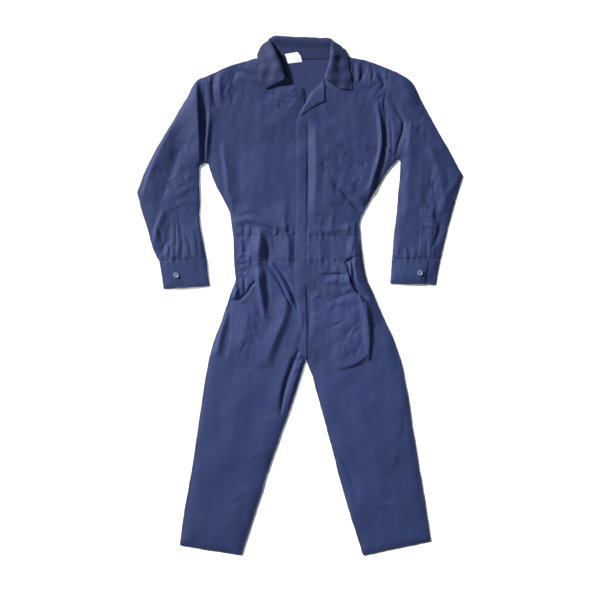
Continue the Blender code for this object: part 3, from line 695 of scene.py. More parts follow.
def surface(x, y):
    """The height of the upper cloth at any places, read from the grid."""
    column = np.clip((np.asarray(x, float) - LIE_LOW[0]) / LIE_STEP, 0, LIE.shape[1] - 1.001)
    row = np.clip((np.asarray(y, float) - LIE_LOW[1]) / LIE_STEP, 0, LIE.shape[0] - 1.001)
    left, low = column.astype(int), row.astype(int)
    u, v = column - left, row - low
    return (
        LIE[low, left] * (1 - u) * (1 - v)
        + LIE[low, left + 1] * u * (1 - v)
        + LIE[low + 1, left] * (1 - u) * v
        + LIE[low + 1, left + 1] * u * v
    )


def smooth_step(value):
    value = np.clip(value, 0.0, 1.0)
    return value * value * (3 - 2 * value)


def on_back(x, y):
    """The height of a panel that lies on a back panel, as the upper cloth lies."""
    return PLY + surface(x, y)


def lapped(x):
    """The left side rises beside the fly band, to meet it."""
    return 2.0 * smooth_step((64 - x) / 40)


def on_lapped_front(x, y):
    return PLY + surface(x, y) + lapped(x)


FRONT_RIGHT_PLAN = ruled(column(TORSO, "side_right"), column(TORSO, "front_right"), TORSO_CORNERS)
FRONT_LEFT_PLAN = ruled(column(TORSO, "front_left"), column(TORSO, "side_left"), TORSO_CORNERS)
piece_of_cloth("front_right", 92, 176, panel(FRONT_RIGHT_PLAN, on_back, "lbt"))
piece_of_cloth("front_left", 92, 176, panel(FRONT_LEFT_PLAN, on_lapped_front, "rbt"))

# ----------------------------------------
# The waistband: a band of the same twill, two fronts and a back, between the body and the trousers.


def band_plan(right_top, left_top, right_foot, left_foot):
    """A strip of the waist between two side edges, just clear of the seams over and under it."""
    low, high = right_foot[1] + SEAM_GAP, right_top[1] - SEAM_GAP
    edges = []
    for foot, top in ((right_foot[0], right_top[0]), (left_foot[0], left_top[0])):
        edges.append([(foot, low), ((foot + top) / 2, (low + high) / 2), (top, high)])
    return ruled(*edges)


WAIST_TOP, WAIST_FOOT = TORSO[0], LEGS[0]
WAISTBAND_BACK_PLAN = band_plan(WAIST_TOP.side_right, WAIST_TOP.side_left,
                                WAIST_FOOT.outer_right, WAIST_FOOT.outer_left)
WAISTBAND_RIGHT_PLAN = band_plan(WAIST_TOP.side_right, WAIST_TOP.front_right,
                                 WAIST_FOOT.outer_right, WAIST_FOOT.inner_right)
WAISTBAND_LEFT_PLAN = band_plan(WAIST_TOP.front_left, WAIST_TOP.side_left,
                                WAIST_FOOT.inner_left, WAIST_FOOT.outer_left)
piece_of_cloth("waistband_back", 60, 12, panel(WAISTBAND_BACK_PLAN, on_floor, "bt"))
piece_of_cloth("waistband_front_right", 90, 32, panel(WAISTBAND_RIGHT_PLAN, on_back, "bt"))
piece_of_cloth("waistband_front_left", 70, 32, panel(WAISTBAND_LEFT_PLAN, on_lapped_front, "bt"))

# ----------------------------------------
# The trousers: two backs flat on the floor, meeting in the middle, and two fronts over them.

CENTRE_BACK = 19
UP_LEGS = LEGS[::-1]
LEG_CORNERS = (len(LEGS) - 1 - CROTCH_ROW,)


def back_edge(edge, shift):
    """A trouser back's inner edge: the inner leg, and above the crotch the middle of the seat."""
    above = [(CENTRE_BACK + shift, row.inner_right[1]) for row in LEGS[: CROTCH_ROW + 1]]
    below = column(LEGS[CROTCH_ROW + 1 :], edge)
    return (above + below)[::-1]


OUTER_RIGHT, OUTER_LEFT = column(UP_LEGS, "outer_right"), column(UP_LEGS, "outer_left")
TROUSER_RIGHT_PLAN = ruled(OUTER_RIGHT, column(UP_LEGS, "inner_right"), LEG_CORNERS)
TROUSER_LEFT_PLAN = ruled(column(UP_LEGS, "inner_left"), OUTER_LEFT, LEG_CORNERS)
TROUSER_BACK_RIGHT_PLAN = ruled(OUTER_RIGHT, back_edge("inner_right", -SEAM_GAP), LEG_CORNERS)
TROUSER_BACK_LEFT_PLAN = ruled(back_edge("inner_left", SEAM_GAP), OUTER_LEFT, LEG_CORNERS)
piece_of_cloth("trouser_back_right", 36, 140, panel(TROUSER_BACK_RIGHT_PLAN, on_floor, "lrbt"))
piece_of_cloth("trouser_back_left", 36, 140, panel(TROUSER_BACK_LEFT_PLAN, on_floor, "lrbt"))
piece_of_cloth("trouser_front_right", 88, 290, panel(TROUSER_RIGHT_PLAN, on_back, "lrbt"))
piece_of_cloth("trouser_front_left", 88, 290, panel(TROUSER_LEFT_PLAN, on_lapped_front, "lrbt"))

# ----------------------------------------
# The fly band: a strip from the crotch to the break of the lapel that covers the front opening. It is sewn
# to the left front along its straight edge and lies on the right front.

FLY_BAND = table(
    "left right y",
    (17.5, 21.2, -190), (12.0, 21.4, -150), (2.0, 21.6, -104), (-7.0, 21.6, -44), (-13.0, 21.7, 31),
    (-15.0, 21.6, 105), (-12.0, 21.6, 179), (-9.0, 21.6, 252), (-8.0, 21.6, 345), (-8.0, 21.6, 460),
    (-7.0, 21.6, 529), (4.0, 21.6, 553), (15.0, 21.6, 576),
)
FLY_PLAN = ruled([(row.left, row.y) for row in FLY_BAND], [(row.right, row.y) for row in FLY_BAND])
FLY_EDGE = run_of([(row.left, row.y) for row in FLY_BAND])


def on_right_front(x, y):
    """The band lies on the right front, pressed down along its free edge."""
    from_edge = np.abs(from_line(x, y, FLY_EDGE)[0])
    return PLY + PLY + 0.5 + surface(x, y) - 1.4 * np.exp(-from_edge / 4.0)


piece_of_cloth("fly_band", 14, 260, panel(FLY_PLAN, on_right_front, "lr"))

# ----------------------------------------
# The lapel: the turned-back top corner of the left front. Its roll bends down to the front's edge.

LAPEL = [
    ((0, 543), (3, 540)), ((11, 564), (27, 558)), ((23, 586), (50, 572)), ((35, 609), (74, 584)),
    ((53, 627), (75, 608)), ((72, 645), (76, 629)),
]
LAPEL_PLAN = ruled([row[0] for row in LAPEL], [row[1] for row in LAPEL], (3,))
LAPEL_RISE = 5.4


def lapel_place(across, along):
    """The lapel swells beside its roll, bends down steeply at the roll itself and rests on its cut edge."""
    spots, width, length = LAPEL_PLAN(across, along)
    spots = wobble(spots)
    x, y = spots[:, 0], spots[:, 1]
    from_roll = across * width
    edge = (1 - across) * width
    z = LAPEL_RISE + surface(x, y) + 1.6 * np.exp(-from_roll / 14)
    z = z - 4.2 * np.exp(-from_roll / 2.2) - 0.6 * np.exp(-edge / 5.0)
    return np.column_stack([spots, z]), np.stack([from_roll, along * length], axis=1), edge


piece_of_cloth("lapel_left", 30, 56, lapel_place)

# ----------------------------------------
# The patch pockets. Each is cut to its own outline, lies on its panel and follows it, and stands off it a
# little along its open mouth.


def patch_plan(bottom, top, left, right):
    """A patch filled in between its four edges. Bottom and top run to the right, and the sides upwards."""
    edges = []
    for points in (bottom, top, left, right):
        run = run_of(points, range(1, len(points) - 1) if len(points) < 4 else (), 8)
        step = reached(run)
        edges.append((step / step[-1], run, step[-1]))

    def on(edge, share):
        steps, run, _ = edge
        return np.column_stack([np.interp(share, steps, run[:, 0]), np.interp(share, steps, run[:, 1])])

    def plan(across, along):
        u, v = across[:, None], along[:, None]
        zero, one = np.zeros_like(across), np.ones_like(across)
        foot, head, left_side, right_side = edges
        sides = on(left_side, along) * (1 - u) + on(right_side, along) * u
        ends = on(foot, across) * (1 - v) + on(head, across) * v
        corners = (
            on(foot, zero) * (1 - u) * (1 - v)
            + on(foot, one) * u * (1 - v)
            + on(head, zero) * (1 - u) * v
            + on(head, one) * u * v
        )
        return sides + ends - corners, foot[2] * (1 - along) + head[2] * along, left_side[2]

    return plan


# How deep a patch's sewn edge sinks. Then how far into the patch it sinks, puffs up and gapes at its mouth.
SEWN_SINK = 2.0
SEWN_REACH, PUFF_REACH, MOUTH_REACH = 6.0, 12.0, 13.0


def patch_place(plan, under, mouth, lift, puff, softness):
    """A patch on its panel: sunk along its stitching, puffed inside it and standing off at its mouth.

    softness says how much wider the sunk strip is at the left, at the right and along the bottom.
    """
    mouth_run = run_of(mouth)

    def place(across, along):
        spots, width, length = plan(across, along)
        spots = wobble(spots)
        x, y = spots[:, 0], spots[:, 1]
        sewn = np.minimum(np.minimum(across, 1 - across) * width, along * length)
        eased = np.minimum(across * width / softness[0], (1 - across) * width / softness[1])
        eased = np.minimum(eased, along * length / softness[2])
        distance, share = from_line(x, y, mouth_run)
        gape = np.exp(-np.abs(distance) / MOUTH_REACH) * np.sin(math.pi * np.clip(share, 0, 1)) ** 0.6
        uneven = 1 + 0.35 * waves(x, y, 38, 11)
        z = under(x, y) + PLY + GAP / 2 - SEWN_SINK * np.exp(-eased / SEWN_REACH)
        z = z + puff * (1 - np.exp(-eased / PUFF_REACH)) * uneven + lift * gape * uneven
        edge = np.minimum(sewn, np.abs(distance) + 4.0)
        return np.column_stack([spots, z]), np.stack([(across - 0.5) * width, along * length], axis=1), edge

    return place


CHEST_MOUTH = [(71, 453), (150, 452), (235, 449)]
CHEST_PLAN = patch_plan([(71, 268), (192, 268)], CHEST_MOUTH, [(71, 268), (71, 453)],
                        [(192, 268), (204, 300), (222, 345), (232, 400), (235, 449)])
CHEST_PLACE = patch_place(CHEST_PLAN, on_lapped_front, CHEST_MOUTH, 1.2, 0.7, (2.0, 1.0, 1.8))
piece_of_cloth("chest_pocket", 56, 64, CHEST_PLACE)

RIGHT_MOUTH = [(-211, -17), (-178, -20), (-163, -7), (-154, 13), (-140, 32), (-124, 43), (-121, 76),
               (-127, 98)]
HIP_RIGHT_PLAN = patch_plan([(-222, -190), (-215, -203), (-180, -214), (-130, -222), (-72, -226)],
                            RIGHT_MOUTH + [(-72, 98)], [(-222, -190), (-214, -148), (-211, -88), (-211, -17)],
                            [(-72, -226), (-72, 98)])
HIP_RIGHT_PLACE = patch_place(HIP_RIGHT_PLAN, on_back, RIGHT_MOUTH, 3.0, 0.8, (1.2, 3.0, 1.8))
piece_of_cloth("hip_pocket_right", 64, 84, HIP_RIGHT_PLACE)

LEFT_MOUTH = [(136, 98), (141, 84), (147, 61), (153, 37), (166, 13), (184, -4), (205, -17)]
HIP_LEFT_PLAN = patch_plan([(94, -231), (130, -226), (170, -215), (203, -204), (213, -188)],
                           [(94, 98)] + LEFT_MOUTH, [(94, -231), (94, 98)],
                           [(213, -188), (211, -103), (205, -17)])
HIP_LEFT_PLACE = patch_place(HIP_LEFT_PLAN, on_lapped_front, LEFT_MOUTH, 5.0, 0.8, (3.0, 0.8, 2.4))
piece_of_cloth("hip_pocket_left", 60, 84, HIP_LEFT_PLACE)

# ----------------------------------------
# The sleeves: one tube of cloth each, pressed flat, set into the armhole and gathered into the cuff.

ARMHOLE_GAP = 0.1
SLEEVE_COLUMNS = 58
BOW_LENGTH = 150
# A tube's sheet turns round this far inside its outline, so that the wall's outer face is rounded there.
TURN_IN = CLOTH + 1.0


def tube_stations(columns):
    """Places round a flattened tube: the share across, and 1 on top, 0 at a fold, -1 underneath."""
    even = np.linspace(0.0, 1.0, columns + 1)
    # A little closer together near the folds.
    shares = 0.72 * even + 0.28 * (1 - np.cos(math.pi * even)) / 2
    top = [(share, 1) for share in shares]
    return np.array(top + [(1.0, 0)] + [(share, -1) for share in shares[::-1]] + [(0.0, 0)])


def tube_heights(spots, layer):
    """Heights of a tube's inner face: just over its own wall underneath, and as the cloth lies on top."""
    top = on_back(spots[:, 0], spots[:, 1])
    return np.select([layer > 0, layer < 0], [top, np.full(len(top), CLOTH)], CLOTH + GAP / 2)


def sleeve_place(armhole, gap, outer, inner, stations):
    """A flattened tube down the arm. Its first rows bow to follow the armhole, and the bow fades."""
    armhole_at = curve(armhole)
    outer_at, inner_at = curve(outer, SLEEVE_CORNERS), curve(inner)
    places, length = down_the_middle(outer_at, inner_at, len(outer))

    def place(across, along):
        station = np.rint(across * len(stations)).astype(int) % len(stations)
        share, layer = stations[station].T
        row = np.interp(along * length[-1], length, places)
        start, end = outer_at(row), inner_at(row)
        reach = np.linalg.norm(end - start, axis=1)
        wall = np.where(layer == 0, CLOTH, TURN_IN) / reach
        part = (share * (1 - 2 * wall) + wall)[:, None]
        top = np.zeros(len(row))
        straight = outer_at(top) * (1 - share[:, None]) + inner_at(top) * share[:, None]
        bow = armhole_at(share * (len(armhole) - 1)) + (gap, 0.0) - straight
        fade = np.maximum(0.0, 1 - along * length[-1] / BOW_LENGTH)[:, None] ** 1.5
        spots = wobble(start * (1 - part) + end * part + bow * fade)
        z = tube_heights(spots, layer)
        round_it = np.where(layer < 0, 2 - share, share)
        flat = np.stack([round_it * reach, along * length[-1]], axis=1)
        edge = np.minimum(along, 1 - along) * length[-1]
        return np.column_stack([spots, z]), flat, edge

    return place


SLEEVE_STATIONS = tube_stations(SLEEVE_COLUMNS)
for arm, gap, rows in (("right", -ARMHOLE_GAP, SLEEVE_RIGHT), ("left", ARMHOLE_GAP, SLEEVE_LEFT)):
    armhole = column(TORSO[UNDERARM_ROW : SHOULDER_ROW + 1], "side_" + arm)[::-1]
    outer = [(armhole[0][0] + gap, armhole[0][1])] + column(rows, "outer")
    inner = [(armhole[-1][0] + gap, armhole[-1][1])] + column(rows, "inner")
    place = sleeve_place(armhole, gap, outer, inner, SLEEVE_STATIONS)
    piece_of_cloth(f"sleeve_{arm}", len(SLEEVE_STATIONS), 156, place,
                   closed=True)

# ----------------------------------------
# The placket facings: a strip sewn over the slit above each cuff.

# Each strip's foot and top, its flat size and its area, or None where that is the whole rectangle.
PLACKETS = {
    "right": ([(-382, 114), (-360, 114)], [(-388, 243), (-365, 243)], (0.023, 0.145), 0.003),
    "left": ([(358, 117), (398, 117)], [(364, 262), (404, 262)], (0.040, 0.145), None),
}


def placket_place(foot, top):
    """A strip on the sleeve, sunk a little along all its edges."""
    plan = ruled([foot[0], top[0]], [foot[1], top[1]])

    def place(across, along):
        spots, width, length = plan(across, along)
        spots = wobble(spots)
        x, y = spots[:, 0], spots[:, 1]
        edge = np.minimum(np.minimum(across, 1 - across) * width, np.minimum(along, 1 - along) * length)
        z = PLY + surface(x, y) + PLY + 0.1 - 1.1 * np.exp(-edge / 3.0)
        return np.column_stack([spots, z]), np.stack([across * width, along * length], axis=1), edge

    return place


for arm, (foot, top, flat, area) in PLACKETS.items():
    piece_of_cloth(f"sleeve_placket_{arm}", 14, 50, placket_place(foot, top))

# ----------------------------------------
# The cuffs: one strip each, round the wrist and lapped over its own end, and closed by one button.

CUFF_DEPTH = 80.0
CUFF_LAP_START = 0.24
CUFF_LAP_END = 0.50
LAP_RISE = PLY + 0.5


def cuff_stations():
    """The strip from its upper end, round the wrist, to the end under it. 2 is the raised upper end."""
    over = [(share, 2) for share in np.linspace(CUFF_LAP_START, 1.0, 40)]
    under = [(share, -1) for share in np.linspace(1.0, 0.0, 48)]
    lap = [(share, 1) for share in np.linspace(0.0, CUFF_LAP_END, 26)]
    return np.array(over + [(1.0, 0)] + under + [(0.0, 0)] + lap)


def cuff_place(rows, stations):
    """A strip round the wrist, lapped on its upper side. It runs along its stations and up from the wrist."""
    outer_at, inner_at = curve(column(rows[::-1], "outer")), curve(column(rows[::-1], "inner"))
    strip = reached(stations[:, :1])

    def place(across, along):
        station = np.rint(across * (len(stations) - 1)).astype(int)
        share, layer = stations[station].T
        start, end = outer_at(along * (len(rows) - 1)), inner_at(along * (len(rows) - 1))
        reach = np.linalg.norm(end - start, axis=1)
        wall = np.where(layer == 0, CLOTH, TURN_IN) / reach
        part = (share * (1 - 2 * wall) + wall)[:, None]
        spots = wobble(start * (1 - part) + end * part)
        raised = LAP_RISE * smooth_step((0.92 - share) / 0.3) * (layer == 2)
        z = tube_heights(spots, np.minimum(layer, 1)) + raised
        along_strip = strip[station]
        flat = np.stack([along_strip * reach, along * CUFF_DEPTH], axis=1)
        edge = np.minimum(np.minimum(along, 1 - along) * CUFF_DEPTH,
                          np.minimum(along_strip, strip[-1] - along_strip) * reach)
        return np.column_stack([spots, z]), flat, edge

    return place


CUFF_STATIONS = cuff_stations()
for arm, rows in (("right", CUFF_RIGHT), ("left", CUFF_LEFT)):
    piece_of_cloth(f"cuff_{arm}", len(CUFF_STATIONS) - 1, 28, cuff_place(rows, CUFF_STATIONS))

# ----------------------------------------
# The collar: one folded piece of doubled twill. It stands up from the neck, rolls over and falls, outwards
# at its two front leaves and behind itself across the back, where the stand shows.

COLLAR_CLOTH = 1.8
ROLL_GAP = 3.4
# Down the collar from the right front to the left one: the foot of the stand, the roll and the leaf's edge,
# how far the roll is turned up out of the floor, and how much the leaf bows.
COLLAR = table(
    "neck roll edge turn belly",
    ((-56, 650, 8.6), (-41, 649, 13.0), (-103, 621, 9.4), 90, 0),
    ((-74, 672, 8.4), (-54, 690, 16.5), (-121, 648, 9.4), 90, 1),
    ((-95, 696, 7.8), (-72, 731, 16.5), (-125, 690, 9.6), 80, 2),
    ((-108, 711, 6.6), (-92, 768, 10.5), (-127, 722, 6.4), 8, 7),
    ((-92, 711, 1.4), (-78, 777, 5.4), (-96, 724, 1.2), -80, 0),
    ((-45, 711, 1.4), (-40, 776, 4.6), (-45, 723, 0.9), -90, 0),
    ((15, 710, 1.4), (15, 774, 4.6), (15, 722, 0.9), -90, 0),
    ((75, 711, 1.4), (62, 772, 4.6), (75, 723, 0.9), -90, 0),
    ((118, 713, 1.4), (88, 771, 5.4), (118, 726, 1.2), -80, 0),
    ((131, 716, 6.6), (97, 767, 10.5), (143, 723, 6.4), 8, 5),
    ((125, 700, 7.8), (94, 733, 15.5), (148, 694, 9.6), 80, 2),
    ((106, 672, 8.4), (89, 696, 15.5), (154, 655, 9.4), 90, 1),
    ((86, 649, 8.6), (76, 650, 13.0), (160, 618, 9.4), 90, 11),
)
COLLAR_ACROSS, COLLAR_ALONG = 54, 180


def unit(vector):
    return vector / np.linalg.norm(vector)


def collar_profile(row):
    """Seven points across the collar: up the stand, round the roll and down the fall."""
    neck, roll, edge = (np.array(point, float) for point in (row.neck, row.roll, row.edge))
    turn = math.radians(row.turn)
    rise, outboard = unit((roll - neck) * (1, 1, 0)), unit((edge - roll) * (1, 1, 0))
    apart = (outboard * math.cos(turn) + np.array((0, 0, math.sin(turn)))) * ROLL_GAP / 2
    beside = unit(np.array((edge[1] - roll[1], roll[0] - edge[0], 0.0)))
    if beside[0] * roll[0] < 0 and abs(row.turn) < 85:
        beside = -beside
    stand_top, fall_top = roll - apart, roll + apart
    crest = roll + rise * ROLL_GAP / 2
    bowed = (fall_top + edge) / 2 + beside * row.belly
    return [neck, (neck + stand_top) / 2, stand_top, crest, fall_top, bowed, edge]


def collar_lattice():
    """The collar's middle surface as rows of points, smooth both ways."""
    across = np.interp(np.linspace(0, 1, COLLAR_ACROSS + 1), [0, 0.3, 0.55, 1.0], [0, 2, 4, 6])
    rows = np.array([curve(collar_profile(row))(across) for row in COLLAR])
    smooth = curve(rows.reshape(len(COLLAR), -1), (3, 9))(np.linspace(0, len(COLLAR) - 1, COLLAR_ALONG + 1))
    lattice = smooth.reshape(COLLAR_ALONG + 1, COLLAR_ACROSS + 1, 3)
    x, y = lattice[..., 0], lattice[..., 1]
    leaf = smooth_step((across - 3.6) / 0.6)[None, :] * np.ones_like(x)
    along = np.linspace(0, 1, COLLAR_ALONG + 1)[:, None]
    front = np.maximum(smooth_step((0.2 - along) / 0.04), smooth_step((along - 0.8) / 0.04))
    floor = PLY + CLOTH + surface(x, y) + COLLAR_CLOTH / 2 + 0.5
    roll_off = 1.2 * waves(x, y, 52, 21) * leaf * front
    falling = np.maximum(lattice[..., 2] + roll_off, floor)
    lattice[..., 2] = np.where(leaf * front > 0.5, falling, lattice[..., 2])
    lattice[..., 2] = np.maximum(lattice[..., 2], COLLAR_CLOTH / 2)
    return lattice


LATTICE = collar_lattice()
FROM_NECK = np.array([reached(row) for row in LATTICE])
DOWN_MIDDLE = reached(LATTICE[:, COLLAR_ACROSS // 2])


def wobbled(spots):
    """Places in space with the same small shifts as those of a plan."""
    return np.column_stack([wobble(spots[:, :2]), spots[:, 2]])


def collar_place(across, along):
    column, row = np.rint(across * COLLAR_ACROSS).astype(int), np.rint(along * COLLAR_ALONG).astype(int)
    down, from_end = FROM_NECK[row, column], np.minimum(DOWN_MIDDLE[row], DOWN_MIDDLE[-1] - DOWN_MIDDLE[row])
    edge = np.minimum(FROM_NECK[row, -1] - down, from_end)
    edge = np.minimum(edge + 1.0, down + 4.0)
    return wobbled(LATTICE[row, column]), np.stack([DOWN_MIDDLE[row], down], axis=1), edge


# The collar is painted a little darker than the rest of the suit: painted shade.
COLLAR_SHADE_NAVY = (0.0082, 0.0160, 0.0620, 1.0)
COLLAR_SHADED_TWILL = woven_material("navy twill with painted collar shade", TWILL, COLLAR_SHADE_NAVY, TWILL_RELIEF, TWILL_FINISH)
piece_of_cloth("collar", COLLAR_ACROSS, COLLAR_ALONG, collar_place,
               material=COLLAR_SHADED_TWILL, thickness=COLLAR_CLOTH, offset=0.0)

# ----------------------------------------
# The neck label: a blank white woven tape on the back of the neck, sewn down at its upper end.

LABEL_CLOTH = 0.6
LABEL_SIZE = (43, 34)
# The right and the left end of each row.
LABEL = [
    ((-34, 697, 1.7), (9, 702, 1.9)), ((-38, 708, 3.9), (6, 711, 4.0)), ((-40, 715, 5.4), (4, 718, 5.4)),
    ((-44, 725, 6.2), (-6, 731, 6.2)),
]


def make_tape():
    """Tape: a plain weave of fine yarns."""
    group, add = new_weave("tape weave")
    cut = add("ShaderNodeUVMap", uv_map="Cut").outputs["UV"]
    yarns = [add("ShaderNodeTexWave", {"Vector": cut, "Scale": 700.0, "Distortion": 0.6}, bands_direction=way)
             for way in "YX"]
    weave = maths(add, "MAXIMUM", *(yarn.outputs["Fac"] for yarn in yarns))
    add("NodeGroupOutput", {"Tone": maths(add, "MULTIPLY_ADD", weave, 0.08, 0.92), "Height": weave})
    return group


TAPE = woven_material("white label tape", make_tape(), (0.86, 0.87, 0.90, 1.0), (0.3, 0.0002),
                      {"Roughness": 0.5, "Sheen_Weight": 0.15})


def label_place(across, along):
    """The tape from its low end, which lifts a little in the middle, up to its sewn end on the stand."""
    rows = np.array(LABEL, float)
    ends = curve(rows.reshape(len(LABEL), -1))(along * (len(LABEL) - 1))
    spots = ends[:, :3] * (1 - across[:, None]) + ends[:, 3:] * across[:, None]
    spots[:, 2] += 0.5 * np.sin(math.pi * across) * (1 - along)
    flat = np.stack([across * LABEL_SIZE[0], along * LABEL_SIZE[1]], axis=1)
    return spots, flat, np.full(len(spots), FAR)


piece_of_cloth("neck_label", 30, 24, label_place,
               material=TAPE, thickness=LABEL_CLOTH)

# ----------------------------------------
# The cuff buttons: four-hole buttons of pale grey pearl, turned, with a raised rim, sewn on with navy
# thread.

BUTTON_SPOTS = {"right": (-370, 61), "left": (362, 68)}
BUTTON_LIFT = 0.2
# Half of its section, as radius and height: over the top, round the rim and in along the bottom.
BUTTON_PROFILE = [
    (0.0, 2.0), (4.6, 2.0), (5.4, 2.2), (6.1, 2.8), (6.9, 3.0), (7.7, 2.9), (8.2, 2.5), (8.5, 2.0),
    (8.5, 1.2), (8.1, 0.5), (7.2, 0.0), (0.0, 0.0),
]
HOLE_CIRCLE, HOLE_RADIUS = 2.1, 1.0
THREAD_RADIUS, THREAD_SPAN, THREAD_BEND = 0.28, 4.0, 0.35


def pearl_material():
    """Clouded pale grey under a thin clear coat."""
    material, add = new_material("pale grey pearl")
    place = add("ShaderNodeTexCoord").outputs["Object"]
    cloud = add("ShaderNodeTexNoise", {"Vector": place, "Scale": 170.0, "Detail": 3.0, "Distortion": 1.5})
    darker, paler = (0.055, 0.080, 0.17, 1.0), (0.16, 0.20, 0.34, 1.0)
    tint = add("ShaderNodeMix", {0: cloud.outputs["Fac"], 6: darker, 7: paler}, data_type="RGBA")
    shade(add, Base_Color=tint.outputs[2], Roughness=0.4, Coat_Weight=0.1, Coat_Roughness=0.12)
    return material


def thread_material():
    material, add = new_material("navy thread")
    shade(add, Base_Color=(0.016, 0.028, 0.100, 1.0), Roughness=0.6, Sheen_Weight=0.2)
    return material


PEARL, THREAD = pearl_material(), thread_material()


def finished(bm, name):
    """The shape as a mesh."""
    mesh = bpy.data.meshes.new(name)
    bm.to_mesh(mesh)
    bm.free()
    return mesh


def turned_button():
    """The button's section, spun round."""
    bm = bmesh.new()
    corners = [bm.verts.new((x * MM, 0.0, z * MM)) for x, z in BUTTON_PROFILE]
    edges = [bm.edges.new(pair) for pair in zip(corners, corners[1:])]
    bmesh.ops.spin(bm, geom=corners + edges, cent=(0, 0, 0), axis=(0, 0, 1), angle=math.tau, steps=64)
    bmesh.ops.remove_doubles(bm, verts=bm.verts, dist=2e-6)
    bmesh.ops.recalc_face_normals(bm, faces=bm.faces)
    return finished(bm, "button")


def rod(bm, segments, radius, depth):
    """The points of an upright rod about the middle, in millimetres."""
    made = bmesh.ops.create_cone(bm, cap_ends=True, segments=segments, radius1=radius * MM,
                                 radius2=radius * MM, depth=depth * MM)
    return made["verts"]


def drilled(name, mesh):
    """The button with its four holes cut through."""
    bm = bmesh.new()
    for index in range(4):
        angle = math.radians(45 + 90 * index)
        spot = (math.cos(angle) * HOLE_CIRCLE * MM, math.sin(angle) * HOLE_CIRCLE * MM, 0.0)
        bmesh.ops.translate(bm, verts=rod(bm, 20, HOLE_RADIUS, 14), vec=spot)
    button, drill = shown(name, mesh), shown("drills", finished(bm, "drills"))
    cut = button.modifiers.new("Holes", "BOOLEAN")
    cut.operation, cut.solver, cut.object = "DIFFERENCE", "EXACT", drill
    made = bpy.data.meshes.new_from_object(button.evaluated_get(bpy.context.evaluated_depsgraph_get()))
    button.modifiers.clear()
    button.data = made
    bpy.data.objects.remove(drill)
    return button


def ride_as_thread(name, mesh):
    """Thread goes with the cloth that it sews."""
    mesh.materials.append(THREAD)
    mesh.shade_smooth()
    obj = shown(name, mesh)
    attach(obj, "root")


for arm, (x, y) in BUTTON_SPOTS.items():
    button = drilled(f"cuff_button_{arm}_turned", turned_button())
    ring = np.linspace(0, math.tau, 25)
    under = surface(x + 7 * np.cos(ring), y + 7 * np.sin(ring)).max()
    height = PLY + CLOTH + LAP_RISE + under + BUTTON_LIFT
    for vertex in button.data.vertices:
        vertex.co.x += x * MM
        vertex.co.y += y * MM
        vertex.co.z += height * MM
    button.data.materials.append(PEARL)
    button.data.shade_smooth()
    button.data.set_sharp_from_angle(angle=math.radians(35))
    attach(button, "root")
    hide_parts(f"cuff_button_{arm}")
    bm = bmesh.new()
    for side in (-1, 1):
        for strand in (-0.35, 0.0, 0.35):
            reach = HOLE_CIRCLE * math.sqrt(0.5) * side + strand
            for vertex in rod(bm, 8, THREAD_RADIUS, THREAD_SPAN):
                along, lift = vertex.co.z, vertex.co.x
                bend = THREAD_BEND * MM * (1 - (along / (THREAD_SPAN / 2 * MM)) ** 2)
                over = (height + 2.1) * MM + lift + bend
                vertex.co = (x * MM + reach * MM + vertex.co.y, y * MM + along, over)
    ride_as_thread(f"button_thread_{arm}", finished(bm, f"button_thread_{arm}"))

# ----------------------------------------
# The topstitching: rows of navy lock stitches beside every seam, each stitch a small spindle of thread that
# lies on the cloth, all joined into a few meshes.

STITCH_PITCH, STITCH_LENGTH, STITCH_RADIUS = 3.0, 2.2, 0.30
# Up from a sheet's under side to its stitches.
ON_TOP = (0.0, 0.0, CLOTH + 0.1)


def inside_edge(plan, side, distance, start=0.0, end=1.0):
    """Shares across and along a panel that run beside one of its edges, this far inside it."""
    steps = np.linspace(start, end, 240)
    _, width, length = plan(np.zeros_like(steps), steps)
    if side in "lr":
        return distance / width if side == "l" else 1 - distance / width, steps
    return steps, np.full_like(steps, distance / length if side == "b" else 1 - distance / length)


def beside(plan, side, distance, start=0.0, end=1.0):
    """Places along one edge of a ruled panel, this far inside it."""
    return wobble(plan(*inside_edge(plan, side, distance, start, end))[0])


def on_cloth(spots, height):
    """Places on the upper side of a panel that lies at this height."""
    return np.column_stack([spots, height(spots[:, 0], spots[:, 1])]) + ON_TOP


def evenly(points, pitch):
    """Places and directions at an even pitch along a run of points in space."""
    step = reached(points)
    if step[-1] < 2 * pitch:
        return np.empty((0, 3)), np.empty((0, 3))
    at = np.arange(pitch / 2, step[-1] - pitch / 2, pitch)
    spots = np.column_stack([np.interp(at, step, points[:, axis]) for axis in range(3)])
    ahead = np.column_stack([np.interp(at + pitch / 2, step, points[:, axis]) for axis in range(3)])
    run = ahead - spots
    return spots, run / np.maximum(np.linalg.norm(run, axis=1), 1e-9)[:, None]


def stitch_mesh(name, runs):
    """One mesh of all the stitches of these runs, each turned along its run."""
    bm = bmesh.new()
    bmesh.ops.create_uvsphere(bm, u_segments=4, v_segments=3, radius=1.0)
    bmesh.ops.triangulate(bm, faces=bm.faces)
    shape = np.array([vertex.co for vertex in bm.verts])
    faces = np.array([[vertex.index for vertex in face.verts] for face in bm.faces])
    bm.free()
    shape = shape * (STITCH_RADIUS, STITCH_RADIUS, STITCH_LENGTH / 2)
    spots, ways = (np.vstack(parts) for parts in zip(*(evenly(run, STITCH_PITCH) for run in runs)))
    side = np.cross(ways, (0.0, 0.0, 1.0))
    side /= np.maximum(np.linalg.norm(side, axis=1), 1e-9)[:, None]
    up = np.cross(side, ways)
    points = (spots[:, None] + shape[None, :, 0:1] * side[:, None] + shape[None, :, 1:2] * up[:, None]
              + shape[None, :, 2:3] * ways[:, None])
    index = faces[None] + (np.arange(len(spots)) * len(shape))[:, None, None]
    mesh = bpy.data.meshes.new(name)
    mesh.from_pydata((points.reshape(-1, 3) * MM).tolist(), [], index.reshape(-1, 3).tolist())
    return mesh


